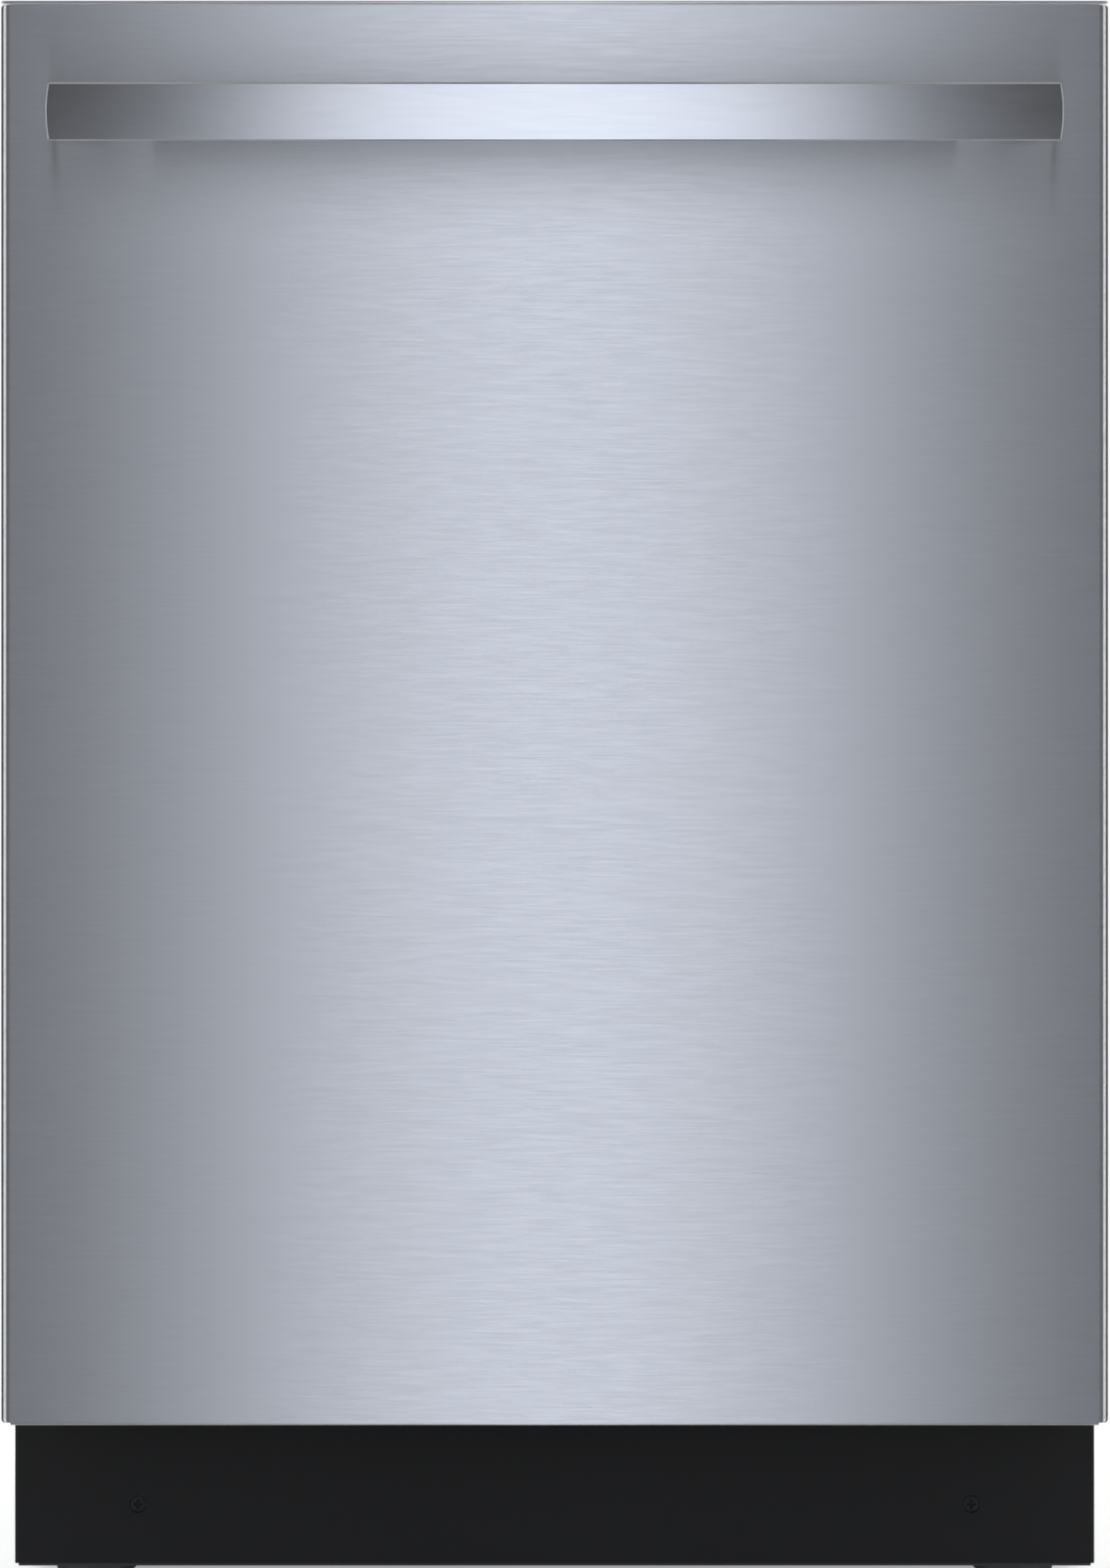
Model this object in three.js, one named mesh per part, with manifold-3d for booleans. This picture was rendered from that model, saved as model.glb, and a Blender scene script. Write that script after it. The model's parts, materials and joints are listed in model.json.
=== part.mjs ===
// A built-in dishwasher, 24 inch class, with a steel front and its controls on the door's top edge.
// Millimetres, +Z up. The front looks along -Y and +X is on the right seen from the front.
// The origin is on the floor, in the middle of the whole object's footprint.

import * as THREE from 'three';
import { mergeVertices } from 'three/addons/utils/BufferGeometryUtils.js';
import Module from 'manifold-3d';

const wasm = await Module();
wasm.setup();

// ---------------------------------------------------------------- driving dimensions

const CLEARANCE = 0.3; // between pieces that touch
const REAR_Y = 324; // back of the base

// Door
const DOOR_HALF = 299.25;
const DOOR_TOP = 860;
const DOOR_BOTTOM = 90.4;
const FACE_Y = -279; // front of the door panel
const SHEET = 1; // door sheet metal
const BEND = 4.5; // outer radius of the door's side folds
const TOP_FOLD_DEPTH = 8;
const BOTTOM_FOLD_DEPTH = 17;
const SKIRT_INSET = 6; // from the door's side to the end of its bottom fold
const PANEL_BACK_Y = -252; // where the side folds end
const LINER_Y = -229; // rim of the inner door, facing the tub
const LINER_HALF = 291;
const LINER_BOTTOM = 114;
const LINER_TOP = 834;
const LINER_FRONT_Y = -251;
const DISH_HALF = 235; // the sunken middle of the inner door
const DISH_DEPTH = 12;
const DISH_Z = [170, 790];
const WELL_HALF = 95; // the dispenser's case
const WELL_Z = [560, 660];
const HINGE_NOTCH = { inner: 278, top: 150 }; // cut from the inner door's lower corners
const HINGE_Y = -246;
const HINGE_Z = 112;
const HINGE_EYE_RADIUS = 13;
const HINGE_PIN_RADIUS = 5;
const HINGE_ARM_X = [292.3, 295.3];
const HINGE_ARM_TOP = 300;
const BRACKET_X = [284, 287];
const SPRING_X = 281;
const SPRING_Z = 86;

// Handle
const HANDLE_HALF = 271;
const HANDLE_BOTTOM = 779.1;
const HANDLE_TOP = 810.3;
const HANDLE_FRONT_Y = -324;
const HANDLE_BACK_Y = -308;
const STANDOFF_INNER = 217.5;
const STANDOFF_OUTER = 269.5;

// Base and toe kick
const BASE_HALF = 296;
const BASE_FRONT_Y = -216.5;
const BASE_BOTTOM = 24;
const BASE_TOP = 126.7;
const BASE_WALL = 3;
const BASE_FLOOR = 4; // thickness
const LEDGE_HALF = 264; // the opening inside the ledge that carries the tub
const LEDGE_Y = [-199, 312];
const KICK_HALF = 297.5;
const KICK_FRONT_Y = -220;
const KICK_SHEET = 1.2;
const KICK_BOTTOM = 7.5;
const KICK_TOP = 101;
const KICK_SCREW_X = 229.5;
const KICK_SCREW_Z = 40;
const KICK_DEPTH = 15;
const FOOT_X = 255;
const FOOT_FRONT_Y = -188;
const FOOT_REAR_Y = 290;
const FOOT_BOSS_TOP = 62;
const BOSS_RADIUS = 12;

// Tub
const TUB_HALF = 281;
const TUB_WALL = 1.2;
const TUB_FRONT_Y = -223;
const TUB_REAR_Y = 306;
const TUB_FLOOR = 129; // where the lower rack's wheels roll, level with the opened door
const TUB_ROOF = 824;
const FLANGE_HALF = 293;
const FLANGE_TOP = 848;
const BASIN_HALF = 232;
const BASIN_FRONT_Y = -192;
const BASIN_FLOOR = 110;
const SUMP_RADIUS = 100;
const COVER_HALF = 292.5; // the felt over the tub
const COVER_Y = [-212, 316];
const COVER_TOP = 836;
const COVER_BOTTOM = 131;
const TOP_BRACKET_X = [196, 230];
const TOP_BRACKET_SHEET = 1.5;

// Water parts
const ARM_Y = 40; // both spray arms turn about x = 0, y = ARM_Y
const FILTER_Y = -45;
const RISER_RADIUS = 16;
const FILTER_RADIUS = 40;
const MAIN_PUMP_Z = 67;
const DRAIN_PUMP = [10, 70]; // y and z of its axis
const OUTLET = [-210, 70]; // x and z of the drain outlet in the back wall
const FEED_RADIUS = 9;
const FEED_REAR_Y = 293;
const ARM_TIP = 22; // radius of a spray arm's rounded tip
const ARM_WAIST = 34; // half its width at the hub
const VALVE_X = -240;
const JUNCTION = { x: [206, 266], y: [-166, -92], z: [28.3, 76], sheet: 1.5 };

// Racks
const RACK_HALF = 256;
const WIRE = 4;
const LOWER_RACK_FLOOR = 158;
const LOWER_RACK_HEIGHT = 176;
const LOWER_RACK_FRONT_Y = -160;
const LOWER_RACK_REAR_Y = 272;
const WHEEL_RADIUS = 17;
const AXLE_Z = TUB_FLOOR + WHEEL_RADIUS + CLEARANCE;
const WHEEL_YS = { front: -80, rear: 180 };
const UPPER_RACK_FLOOR = 552;
const UPPER_RACK_HEIGHT = 116;
const UPPER_RACK_FRONT_Y = -200;
const UPPER_RACK_REAR_Y = 256;
const RAIL_Z = 562;
const RAIL_Y = [-208, 296];
const RUNNER_X = [266, 274];

// ---------------------------------------------------------------- materials

function paint(color, roughness, metalness) {
  return new THREE.MeshStandardMaterial({ color, roughness, metalness });
}

const steel = paint(0xb4b8c0, 0.35, 1);
const polishedSteel = paint(0xd2d4d8, 0.25, 1);
const zincSteel = paint(0x9da2a6, 0.5, 1);
const blackPaint = paint(0x1f1f1f, 0.55, 0);
const blackPlastic = paint(0x26272a, 0.6, 0);
const greyPlastic = paint(0x8b9096, 0.55, 0);
const rackCoating = paint(0x7d848b, 0.45, 0);
const felt = paint(0x4a4a4c, 0.95, 0);
const rubber = paint(0x202123, 0.8, 0);
const glass = paint(0x0b0c0e, 0.1, 0);
const buttonPlastic = paint(0x3a3c40, 0.4, 0);

// ---------------------------------------------------------------- geometry helpers

function toSolid(geometry) {
  geometry.deleteAttribute('normal');
  geometry.deleteAttribute('uv');
  const merged = mergeVertices(geometry, 1e-4);
  return new wasm.Manifold(new wasm.Mesh({
    numProp: 3,
    vertProperties: new Float32Array(merged.attributes.position.array),
    triVerts: new Uint32Array(merged.index.array),
  }));
}

function toGeometry(solid) {
  const mesh = solid.getMesh();
  const geometry = new THREE.BufferGeometry();
  geometry.setAttribute('position', new THREE.BufferAttribute(mesh.vertProperties, 3));
  geometry.setIndex(new THREE.BufferAttribute(mesh.triVerts, 1));
  geometry.computeVertexNormals();
  return geometry;
}

// A box from its two corners on each axis.
function block([x0, x1], [y0, y1], [z0, z1]) {
  const geometry = new THREE.BoxGeometry(x1 - x0, y1 - y0, z1 - z0);
  geometry.translate((x0 + x1) / 2, (y0 + y1) / 2, (z0 + z1) / 2);
  return toSolid(geometry);
}

// A cylinder between two values along one axis, with its centre on the other two.
function rod(axis, radius, [from, to], centre, segments = 20) {
  const geometry = new THREE.CylinderGeometry(radius, radius, to - from, segments);
  const middle = (from + to) / 2;
  if (axis === 'x') geometry.rotateZ(Math.PI / 2).translate(middle, centre[0], centre[1]);
  if (axis === 'y') geometry.translate(centre[0], middle, centre[1]);
  if (axis === 'z') geometry.rotateX(Math.PI / 2).translate(centre[0], centre[1], middle);
  return toSolid(geometry);
}

// A turned piece about Z from [radius, height] pairs that start and end on the axis or close.
function turned(profile, centre, segments = 24) {
  const points = profile.map(([radius, height]) => new THREE.Vector2(radius, height));
  const geometry = new THREE.LatheGeometry(points, segments);
  geometry.rotateX(Math.PI / 2).translate(centre[0], centre[1], 0);
  return toSolid(geometry);
}

function roundedRectangle(width, height, radius) {
  const shape = new THREE.Shape();
  const x = width / 2;
  const y = height / 2;
  shape.moveTo(x, radius - y);
  shape.absarc(x - radius, y - radius, radius, 0, Math.PI / 2);
  shape.absarc(radius - x, y - radius, radius, Math.PI / 2, Math.PI);
  shape.absarc(radius - x, radius - y, radius, Math.PI, Math.PI * 1.5);
  shape.absarc(x - radius, radius - y, radius, Math.PI * 1.5, Math.PI * 2);
  return shape;
}

function extruded(shape, depth, curveSegments = 4) {
  return new THREE.ExtrudeGeometry(shape, { depth, bevelEnabled: false, curveSegments });
}

// Where each of a row of wires starts, evenly spaced so that the first and last meet the ends.
function wirePlaces([low, high], gaps) {
  const pitch = (high - low - WIRE) / gaps;
  return Array.from({ length: gaps + 1 }, (_, index) => low + index * pitch);
}

// A flat grid of crossing wires that is one wire thick.
function grid(x, y, bottom, columns, rows) {
  const z = [bottom, bottom + WIRE];
  const along = wirePlaces(x, columns).map((start) => block([start, start + WIRE], y, z));
  const across = wirePlaces(y, rows).map((start) => block(x, [start, start + WIRE], z));
  return wasm.Manifold.union([...along, ...across]);
}

// An open-topped wire basket: a floor grid, uprights round its edge and hoops that join them.
function wireBasket({ half, frontY, rearY, floorZ, height, columns, rows, tiers }) {
  const x = [-half, half];
  const y = [frontY, rearY];
  const z = [floorZ, floorZ + height];
  const wires = [grid(x, y, floorZ, columns, rows)];
  for (const start of wirePlaces(x, columns)) {
    wires.push(block([start, start + WIRE], [frontY, frontY + WIRE], z));
    wires.push(block([start, start + WIRE], [rearY - WIRE, rearY], z));
  }
  for (const start of wirePlaces(y, rows)) {
    wires.push(block([-half, WIRE - half], [start, start + WIRE], z));
    wires.push(block([half - WIRE, half], [start, start + WIRE], z));
  }
  for (const start of wirePlaces(z, tiers).slice(1)) {
    const hoop = block(x, y, [start, start + WIRE]);
    const insideY = [frontY + WIRE, rearY - WIRE];
    wires.push(hoop.subtract(block([WIRE - half, half - WIRE], insideY, [start - 1, start + WIRE + 1])));
  }
  return wasm.Manifold.union(wires);
}

const dishwasher = new THREE.Group();

function add(name, solid, material) {
  const mesh = new THREE.Mesh(toGeometry(solid), material);
  mesh.name = name;
  dishwasher.add(mesh);
}

const SIDES = [['left', -1], ['right', 1]];

// The span from a to b mirrored to the side that sign names.
function span(sign, a, b) {
  return sign > 0 ? [a, b] : [-b, -a];
}

// ---------------------------------------------------------------- base, feet and toe kick

function basePan() {
  const y = [BASE_FRONT_Y, REAR_Y];
  const insideX = [BASE_WALL - BASE_HALF, BASE_HALF - BASE_WALL];
  const insideY = [BASE_FRONT_Y + BASE_FLOOR, REAR_Y - BASE_FLOOR];
  const room = block(insideX, insideY, [BASE_BOTTOM + BASE_FLOOR, BASE_TOP + 1]);
  const shell = block([-BASE_HALF, BASE_HALF], y, [BASE_BOTTOM, BASE_TOP]).subtract(room);
  const ledgeBottom = BASE_TOP - BASE_FLOOR;
  const ledge = block([-BASE_HALF, BASE_HALF], y, [ledgeBottom, BASE_TOP])
    .subtract(block([-LEDGE_HALF, LEDGE_HALF], LEDGE_Y, [ledgeBottom - 1, BASE_TOP + 1]));
  let pan = shell.add(ledge);
  for (const x of [-FOOT_X, FOOT_X]) {
    for (const footY of [FOOT_FRONT_Y, FOOT_REAR_Y]) {
      pan = pan.add(rod('z', BOSS_RADIUS, [BASE_BOTTOM, FOOT_BOSS_TOP], [x, footY], 12));
      pan = pan.subtract(rod('z', 6.6, [BASE_BOTTOM - 1, FOOT_BOSS_TOP + 1], [x, footY], 12));
    }
  }
  for (const x of [-KICK_SCREW_X, KICK_SCREW_X]) {
    pan = pan.subtract(rod('y', 2.6, [BASE_FRONT_Y - 1, BASE_FRONT_Y + 5], [x, KICK_SCREW_Z], 12));
  }
  return pan.subtract(rod('y', 14.4, [REAR_Y - 6, REAR_Y + 1], OUTLET));
}

function foot(x, y) {
  const pad = turned([[0, 0], [20, 0], [22, 3], [22, 6], [12, 10], [10, 16], [0, 16]], [x, y], 16);
  return pad.add(rod('z', 6, [10, 58], [x, y], 12));
}

function toeKick() {
  const y = [KICK_FRONT_Y, KICK_FRONT_Y + KICK_DEPTH];
  let kick = block([-KICK_HALF, KICK_HALF], y, [KICK_BOTTOM, KICK_TOP]);
  const inner = KICK_HALF - KICK_SHEET;
  const cavityY = [KICK_FRONT_Y + KICK_SHEET, KICK_FRONT_Y + KICK_DEPTH + 1];
  kick = kick.subtract(block([-inner, inner], cavityY, [KICK_BOTTOM - 1, KICK_TOP + 1]));
  for (const x of [-KICK_SCREW_X, KICK_SCREW_X]) {
    kick = kick.subtract(rod('y', 5, [KICK_FRONT_Y - 1, KICK_FRONT_Y + 2], [x, KICK_SCREW_Z]));
  }
  return kick;
}

function toeKickScrew(x) {
  const z = KICK_SCREW_Z;
  const slotY = [KICK_FRONT_Y, KICK_FRONT_Y + 1.6];
  const head = rod('y', 4.7, [KICK_FRONT_Y + 0.4, KICK_FRONT_Y + 2.6], [x, z]);
  const across = block([x - 2, x + 2], slotY, [z - 0.5, z + 0.5]);
  const upright = block([x - 0.5, x + 0.5], slotY, [z - 2, z + 2]);
  const shank = rod('y', 2.2, [KICK_FRONT_Y + 2, BASE_FRONT_Y + 10], [x, z], 16);
  return head.add(shank).subtract(across).subtract(upright);
}

// The rubber lip behind the toe kick's lower edge, which brushes the floor.
function toeKickStrip() {
  const half = KICK_HALF - 2;
  return block([-half, half], [KICK_FRONT_Y + 1.5, KICK_FRONT_Y + 3], [KICK_BOTTOM - 2, 32]);
}

add('base_pan', basePan(), blackPlastic);
for (const [side, sign] of SIDES) {
  add(`front_foot_${side}`, foot(sign * FOOT_X, FOOT_FRONT_Y), blackPlastic);
  add(`rear_foot_${side}`, foot(sign * FOOT_X, FOOT_REAR_Y), blackPlastic);
  add(`toe_kick_screw_${side}`, toeKickScrew(sign * KICK_SCREW_X), blackPaint);
}
add('toe_kick', toeKick(), blackPaint);
add('toe_kick_strip', toeKickStrip(), rubber);

// ---------------------------------------------------------------- tub and its covering

function tub() {
  const inner = TUB_HALF - TUB_WALL;
  const floorBottom = TUB_FLOOR - TUB_WALL;
  const rearInside = TUB_REAR_Y - TUB_WALL;
  const shell = block([-TUB_HALF, TUB_HALF], [TUB_FRONT_Y, TUB_REAR_Y], [floorBottom, TUB_ROOF]);
  const basin = block(
    [-BASIN_HALF, BASIN_HALF],
    [BASIN_FRONT_Y, TUB_REAR_Y],
    [BASIN_FLOOR - TUB_WALL, TUB_FLOOR],
  );
  const flange = block(
    [-FLANGE_HALF, FLANGE_HALF],
    [TUB_FRONT_Y - 0.5, TUB_FRONT_Y + 1.5],
    [floorBottom, FLANGE_TOP],
  );
  const room = block([-inner, inner], [TUB_FRONT_Y - 9, rearInside], [TUB_FLOOR, TUB_ROOF - TUB_WALL]);
  const basinRoom = block(
    [TUB_WALL - BASIN_HALF, BASIN_HALF - TUB_WALL],
    [BASIN_FRONT_Y + TUB_WALL, rearInside],
    [BASIN_FLOOR, TUB_FLOOR + 1],
  );
  const drain = rod('z', SUMP_RADIUS, [BASIN_FLOOR - 9, BASIN_FLOOR + 9], [0, 0], 32);
  return shell.add(basin).add(flange).subtract(room).subtract(basinRoom).subtract(drain);
}

function tubGasket() {
  const half = FLANGE_HALF - 2.5;
  const y = [LINER_Y + CLEARANCE, TUB_FRONT_Y - 0.8];
  const outside = block([-half, half], y, [COVER_BOTTOM, LINER_TOP - 1]);
  const opening = block([-TUB_HALF, TUB_HALF], [y[0] - 1, y[1] + 1], [COVER_BOTTOM - 1, TUB_ROOF]);
  return outside.subtract(opening);
}

function insulationBlanket() {
  const outer = block([-COVER_HALF, COVER_HALF], COVER_Y, [COVER_BOTTOM, COVER_TOP]);
  const hollow = TUB_HALF + CLEARANCE;
  const hollowY = [COVER_Y[0] - 1, TUB_REAR_Y + CLEARANCE];
  return outer.subtract(block([-hollow, hollow], hollowY, [COVER_BOTTOM - 1, TUB_ROOF + CLEARANCE]));
}

function countertopBracket(sign) {
  const x = span(sign, ...TOP_BRACKET_X);
  const top = DOOR_TOP - 2;
  const frontY = -221.2;
  const leg = block(x, [frontY, frontY + TOP_BRACKET_SHEET], [828, top]);
  const tab = block(x, [frontY, -186], [top - TOP_BRACKET_SHEET, top]);
  const hole = rod('z', 3, [top - 8, top + 2], [(x[0] + x[1]) / 2, -196], 16);
  return leg.add(tab).subtract(hole);
}

function latchStrike() {
  const plate = block([-32, 32], [TUB_FRONT_Y - 2.6, TUB_FRONT_Y - 0.8], [837, 847.5]);
  const tongue = block([-12, 12], [-243, TUB_FRONT_Y - 1], [842, 846]);
  return plate.add(tongue);
}

add('tub', tub(), steel);
add('tub_gasket', tubGasket(), rubber);
add('insulation_blanket', insulationBlanket(), felt);
add('latch_strike', latchStrike(), zincSteel);
for (const [side, sign] of SIDES) {
  add(`countertop_bracket_${side}`, countertopBracket(sign), zincSteel);
}

// ---------------------------------------------------------------- water system

function sump() {
  const top = BASIN_FLOOR - TUB_WALL - CLEARANCE;
  const bowl = turned([
    [0, 46], [70, 46], [96, 70], [96, top - 3], [112, top - 3],
    [112, top], [90, top], [90, 74], [66, 50], [0, 50], [0, 46],
  ], [0, 0], 32);
  const riser = rod('z', RISER_RADIUS, [49, 139], [0, ARM_Y]);
  return bowl.add(riser);
}

function filterPlate() {
  const bottom = BASIN_FLOOR - TUB_WALL;
  const plate = rod('z', SUMP_RADIUS - 1.5, [bottom, bottom + 2], [0, 0], 32);
  const armHole = rod('z', RISER_RADIUS + 0.6, [100, 120], [0, ARM_Y]);
  const filterHole = rod('z', FILTER_RADIUS + 0.6, [100, 120], [0, FILTER_Y]);
  return plate.subtract(armHole).subtract(filterHole);
}

function filterCylinder() {
  const rim = BASIN_FLOOR - TUB_WALL + 2.3;
  const base = 76;
  const cup = turned([
    [0, base], [FILTER_RADIUS, base], [FILTER_RADIUS, rim], [46, rim],
    [46, rim + 3], [38, rim + 3], [38, base + 2], [0, base + 2], [0, base],
  ], [0, FILTER_Y]);
  const grip = block([-38.5, 38.5], [FILTER_Y - 3, FILTER_Y + 3], [100, 128]);
  return cup.add(grip);
}

function circulationPump() {
  const axis = [ARM_Y, MAIN_PUMP_Z];
  const motor = rod('x', 36, [140, 240], axis);
  const volute = rod('x', 44, [112, 142], axis).intersect(block([0, 300], [-100, 100], [29, 107]));
  const neck = rod('x', 16, [96.5, 114], [ARM_Y - 36, 78]);
  return motor.add(volute).add(neck);
}

function drainPump() {
  const motor = rod('x', 26, [-190, -130], DRAIN_PUMP);
  const head = rod('x', 34, [-132, -108], DRAIN_PUMP);
  const neck = rod('x', 12, [-110, -96.5], [0, 78]);
  return motor.add(head).add(neck);
}

// The pipe that climbs the tub's back wall to the upper spray arm.
function feedPipe() {
  const z = BASIN_FLOOR + 10;
  const bend = 25;
  const corner = new THREE.Vector3(0, FEED_REAR_Y, z);
  const start = new THREE.Vector3(0, 112, z);
  const beforeBend = new THREE.Vector3(0, FEED_REAR_Y - bend, z);
  const afterBend = new THREE.Vector3(0, FEED_REAR_Y, z + bend);
  const end = new THREE.Vector3(0, FEED_REAR_Y, UPPER_RACK_FLOOR + 6);
  const route = new THREE.CurvePath();
  route.add(new THREE.LineCurve3(start, beforeBend));
  route.add(new THREE.QuadraticBezierCurve3(beforeBend, corner, afterBend));
  route.add(new THREE.LineCurve3(afterBend, end));
  const section = new THREE.Shape().absarc(0, 0, FEED_RADIUS, 0, Math.PI * 2);
  const pipe = new THREE.ExtrudeGeometry(section, { extrudePath: route, steps: 18, curveSegments: 5 });
  return toSolid(pipe);
}

function sprayArm(radius, bottom, hubTop, hubBottom) {
  const tip = radius - ARM_TIP;
  const shoulder = ARM_WAIST - 2;
  const outline = new THREE.Shape();
  outline.moveTo(-tip, -ARM_TIP);
  outline.quadraticCurveTo(-radius / 2, -shoulder, 0, -ARM_WAIST);
  outline.quadraticCurveTo(radius / 2, -shoulder, tip, -ARM_TIP);
  outline.absarc(tip, 0, ARM_TIP, -Math.PI / 2, Math.PI / 2);
  outline.quadraticCurveTo(radius / 2, shoulder, 0, ARM_WAIST);
  outline.quadraticCurveTo(-radius / 2, shoulder, -tip, ARM_TIP);
  outline.absarc(-tip, 0, ARM_TIP, Math.PI / 2, Math.PI * 1.5);
  const blade = extruded(outline, 11, 5).rotateZ(0.35).translate(0, ARM_Y, bottom);
  return toSolid(blade).add(rod('z', 28, [hubBottom, hubTop], [0, ARM_Y]));
}

function lowerSprayArm() {
  return sprayArm(228, 134, 149, 128).subtract(rod('z', RISER_RADIUS + 0.6, [127, 139.4], [0, ARM_Y]));
}

function upperSprayArm() {
  return sprayArm(215, 516, 536, 512).subtract(rod('z', 9.6, [529, 537], [0, ARM_Y]));
}

function drainOutlet() {
  const barrel = rod('y', 14, [REAR_Y - 16, REAR_Y], OUTLET);
  const collar = rod('y', 20, [REAR_Y - 16, REAR_Y - 4.4], OUTLET);
  return barrel.add(collar).subtract(rod('y', 9, [REAR_Y - 12, REAR_Y + 1], OUTLET));
}

function inletValve() {
  const port = [VALVE_X, 50];
  const body = block([VALVE_X - 22, VALVE_X + 22], [-160, -120], [28.3, 72]);
  const coil = rod('z', 16, [71, 100], [VALVE_X, -140], 20);
  const spout = rod('y', 13, [-121, -98], port).subtract(rod('y', 9, [-115, -97], port));
  return body.add(coil).add(spout);
}

function junctionBox() {
  const { x, y, z, sheet } = JUNCTION;
  const room = block([x[0] + sheet, x[1] - sheet], [y[0] + sheet, y[1] - sheet], [z[0] + sheet, z[1] + 1]);
  return block(x, y, z).subtract(room);
}

add('sump', sump(), blackPlastic);
add('filter_plate', filterPlate(), polishedSteel);
add('filter_cylinder', filterCylinder(), greyPlastic);
add('circulation_pump', circulationPump(), blackPlastic);
add('drain_pump', drainPump(), greyPlastic);
add('feed_pipe', feedPipe(), greyPlastic);
add('lower_spray_arm', lowerSprayArm(), greyPlastic);
add('upper_spray_arm', upperSprayArm(), greyPlastic);
add('drain_outlet', drainOutlet(), blackPlastic);
add('inlet_valve', inletValve(), blackPlastic);
add('junction_box', junctionBox(), zincSteel);

// ---------------------------------------------------------------- rails, hinges and springs

// A C-shaped rail on the tub's side wall, open towards the middle.
function upperRail(sign) {
  const x = span(sign, 262, TUB_HALF - TUB_WALL - CLEARANCE);
  const outer = block(x, RAIL_Y, [RAIL_Z - 13, RAIL_Z + 13]);
  const channel = block(span(sign, 261, 277), [RAIL_Y[0] - 1, RAIL_Y[1] + 1], [RAIL_Z - 10, RAIL_Z + 10]);
  return outer.subtract(channel);
}

function hingeBracket(sign) {
  const x = span(sign, ...BRACKET_X);
  const axis = [HINGE_Y, HINGE_Z];
  const plate = block(x, [HINGE_Y, -217], [103, 125]);
  const eye = rod('x', HINGE_EYE_RADIUS, x, axis);
  const foot = block(span(sign, 262, BRACKET_X[1]), [-218.4, -216.8], [103, 126]);
  const pin = rod('x', HINGE_PIN_RADIUS, span(sign, 286, 297), axis);
  return plate.add(eye).add(foot).add(pin);
}

function hingeArm(sign) {
  const x = span(sign, ...HINGE_ARM_X);
  const axis = [HINGE_Y, HINGE_Z];
  const plate = block(x, [-262, -238], [HINGE_Z, HINGE_ARM_TOP]);
  const eye = rod('x', HINGE_EYE_RADIUS, x, axis);
  return plate.add(eye).subtract(rod('x', HINGE_PIN_RADIUS + 0.4, span(sign, 291, 297), axis));
}

function doorSpring(sign) {
  const axis = [sign * SPRING_X, SPRING_Z];
  return rod('y', 9, [-120, 70], axis, 16).add(rod('y', 3, [-150, 100], axis, 12));
}

for (const [side, sign] of SIDES) {
  add(`upper_rail_${side}`, upperRail(sign), polishedSteel);
  add(`hinge_bracket_${side}`, hingeBracket(sign), zincSteel);
  add(`hinge_arm_${side}`, hingeArm(sign), zincSteel);
  add(`door_spring_${side}`, doorSpring(sign), zincSteel);
}

// ---------------------------------------------------------------- door

// The folded steel front: a wide U seen from above, a short fold at the top and one at the bottom,
// with a relief slot where the bottom fold and the side folds meet.
function doorOuterPanel() {
  const inner = BEND - SHEET;
  const bendX = DOOR_HALF - BEND;
  const bendY = FACE_Y + BEND;
  const plan = new THREE.Shape();
  plan.moveTo(-DOOR_HALF, PANEL_BACK_Y);
  plan.lineTo(-DOOR_HALF, bendY);
  plan.absarc(-bendX, bendY, BEND, Math.PI, Math.PI * 1.5);
  plan.absarc(bendX, bendY, BEND, Math.PI * 1.5, Math.PI * 2);
  plan.lineTo(DOOR_HALF, PANEL_BACK_Y);
  plan.lineTo(DOOR_HALF - SHEET, PANEL_BACK_Y);
  plan.absarc(bendX, bendY, inner, 0, -Math.PI / 2, true);
  plan.absarc(-bendX, bendY, inner, -Math.PI / 2, -Math.PI, true);
  plan.lineTo(SHEET - DOOR_HALF, PANEL_BACK_Y);
  plan.closePath();
  const foldBottom = DOOR_BOTTOM + 1.2;
  const wrap = toSolid(extruded(plan, DOOR_TOP - foldBottom, 6).translate(0, 0, foldBottom));
  const skirtHalf = DOOR_HALF - SKIRT_INSET;
  const skirt = block([-skirtHalf, skirtHalf], [FACE_Y, FACE_Y + SHEET], [DOOR_BOTTOM, foldBottom + 1]);
  const bottomY = [FACE_Y, FACE_Y + BOTTOM_FOLD_DEPTH];
  const bottomFold = block([-skirtHalf, skirtHalf], bottomY, [DOOR_BOTTOM, DOOR_BOTTOM + SHEET]);
  const topFold = block([-bendX, bendX], [FACE_Y, FACE_Y + TOP_FOLD_DEPTH], [DOOR_TOP - SHEET, DOOR_TOP]);
  let panel = wrap.add(skirt).add(bottomFold).add(topFold);
  for (const [, sign] of SIDES) {
    const slot = block(span(sign, skirtHalf, skirtHalf + 1.5), [FACE_Y - 1, FACE_Y + 3], [80, 93.5]);
    panel = panel.subtract(slot);
  }
  return panel;
}

// The inner door: one sheet drawn into a tray that opens towards the outer panel, with a sunken
// middle, cut lower corners for the hinges and a window for the dispenser.
function doorInnerLiner() {
  const solidOf = (grow) => {
    const rim = block(
      [grow - LINER_HALF, LINER_HALF - grow],
      [LINER_FRONT_Y - grow, LINER_Y - grow],
      [LINER_BOTTOM + grow, LINER_TOP - grow],
    );
    const half = DISH_HALF + grow;
    const dishY = [LINER_Y - DISH_DEPTH - grow, LINER_Y + 1];
    let tray = rim.subtract(block([-half, half], dishY, [DISH_Z[0] - grow, DISH_Z[1] + grow]));
    for (const [, sign] of SIDES) {
      const x = span(sign, HINGE_NOTCH.inner - grow, DOOR_HALF);
      tray = tray.subtract(block(x, [-260, -220], [100, HINGE_NOTCH.top + grow]));
    }
    return tray;
  };
  const sheet = solidOf(0).subtract(solidOf(SHEET));
  const x = [-WELL_HALF - 1, WELL_HALF + 1];
  return sheet.subtract(block(x, [-260, -225], [WELL_Z[0] - 1, WELL_Z[1] + 1]));
}

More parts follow.
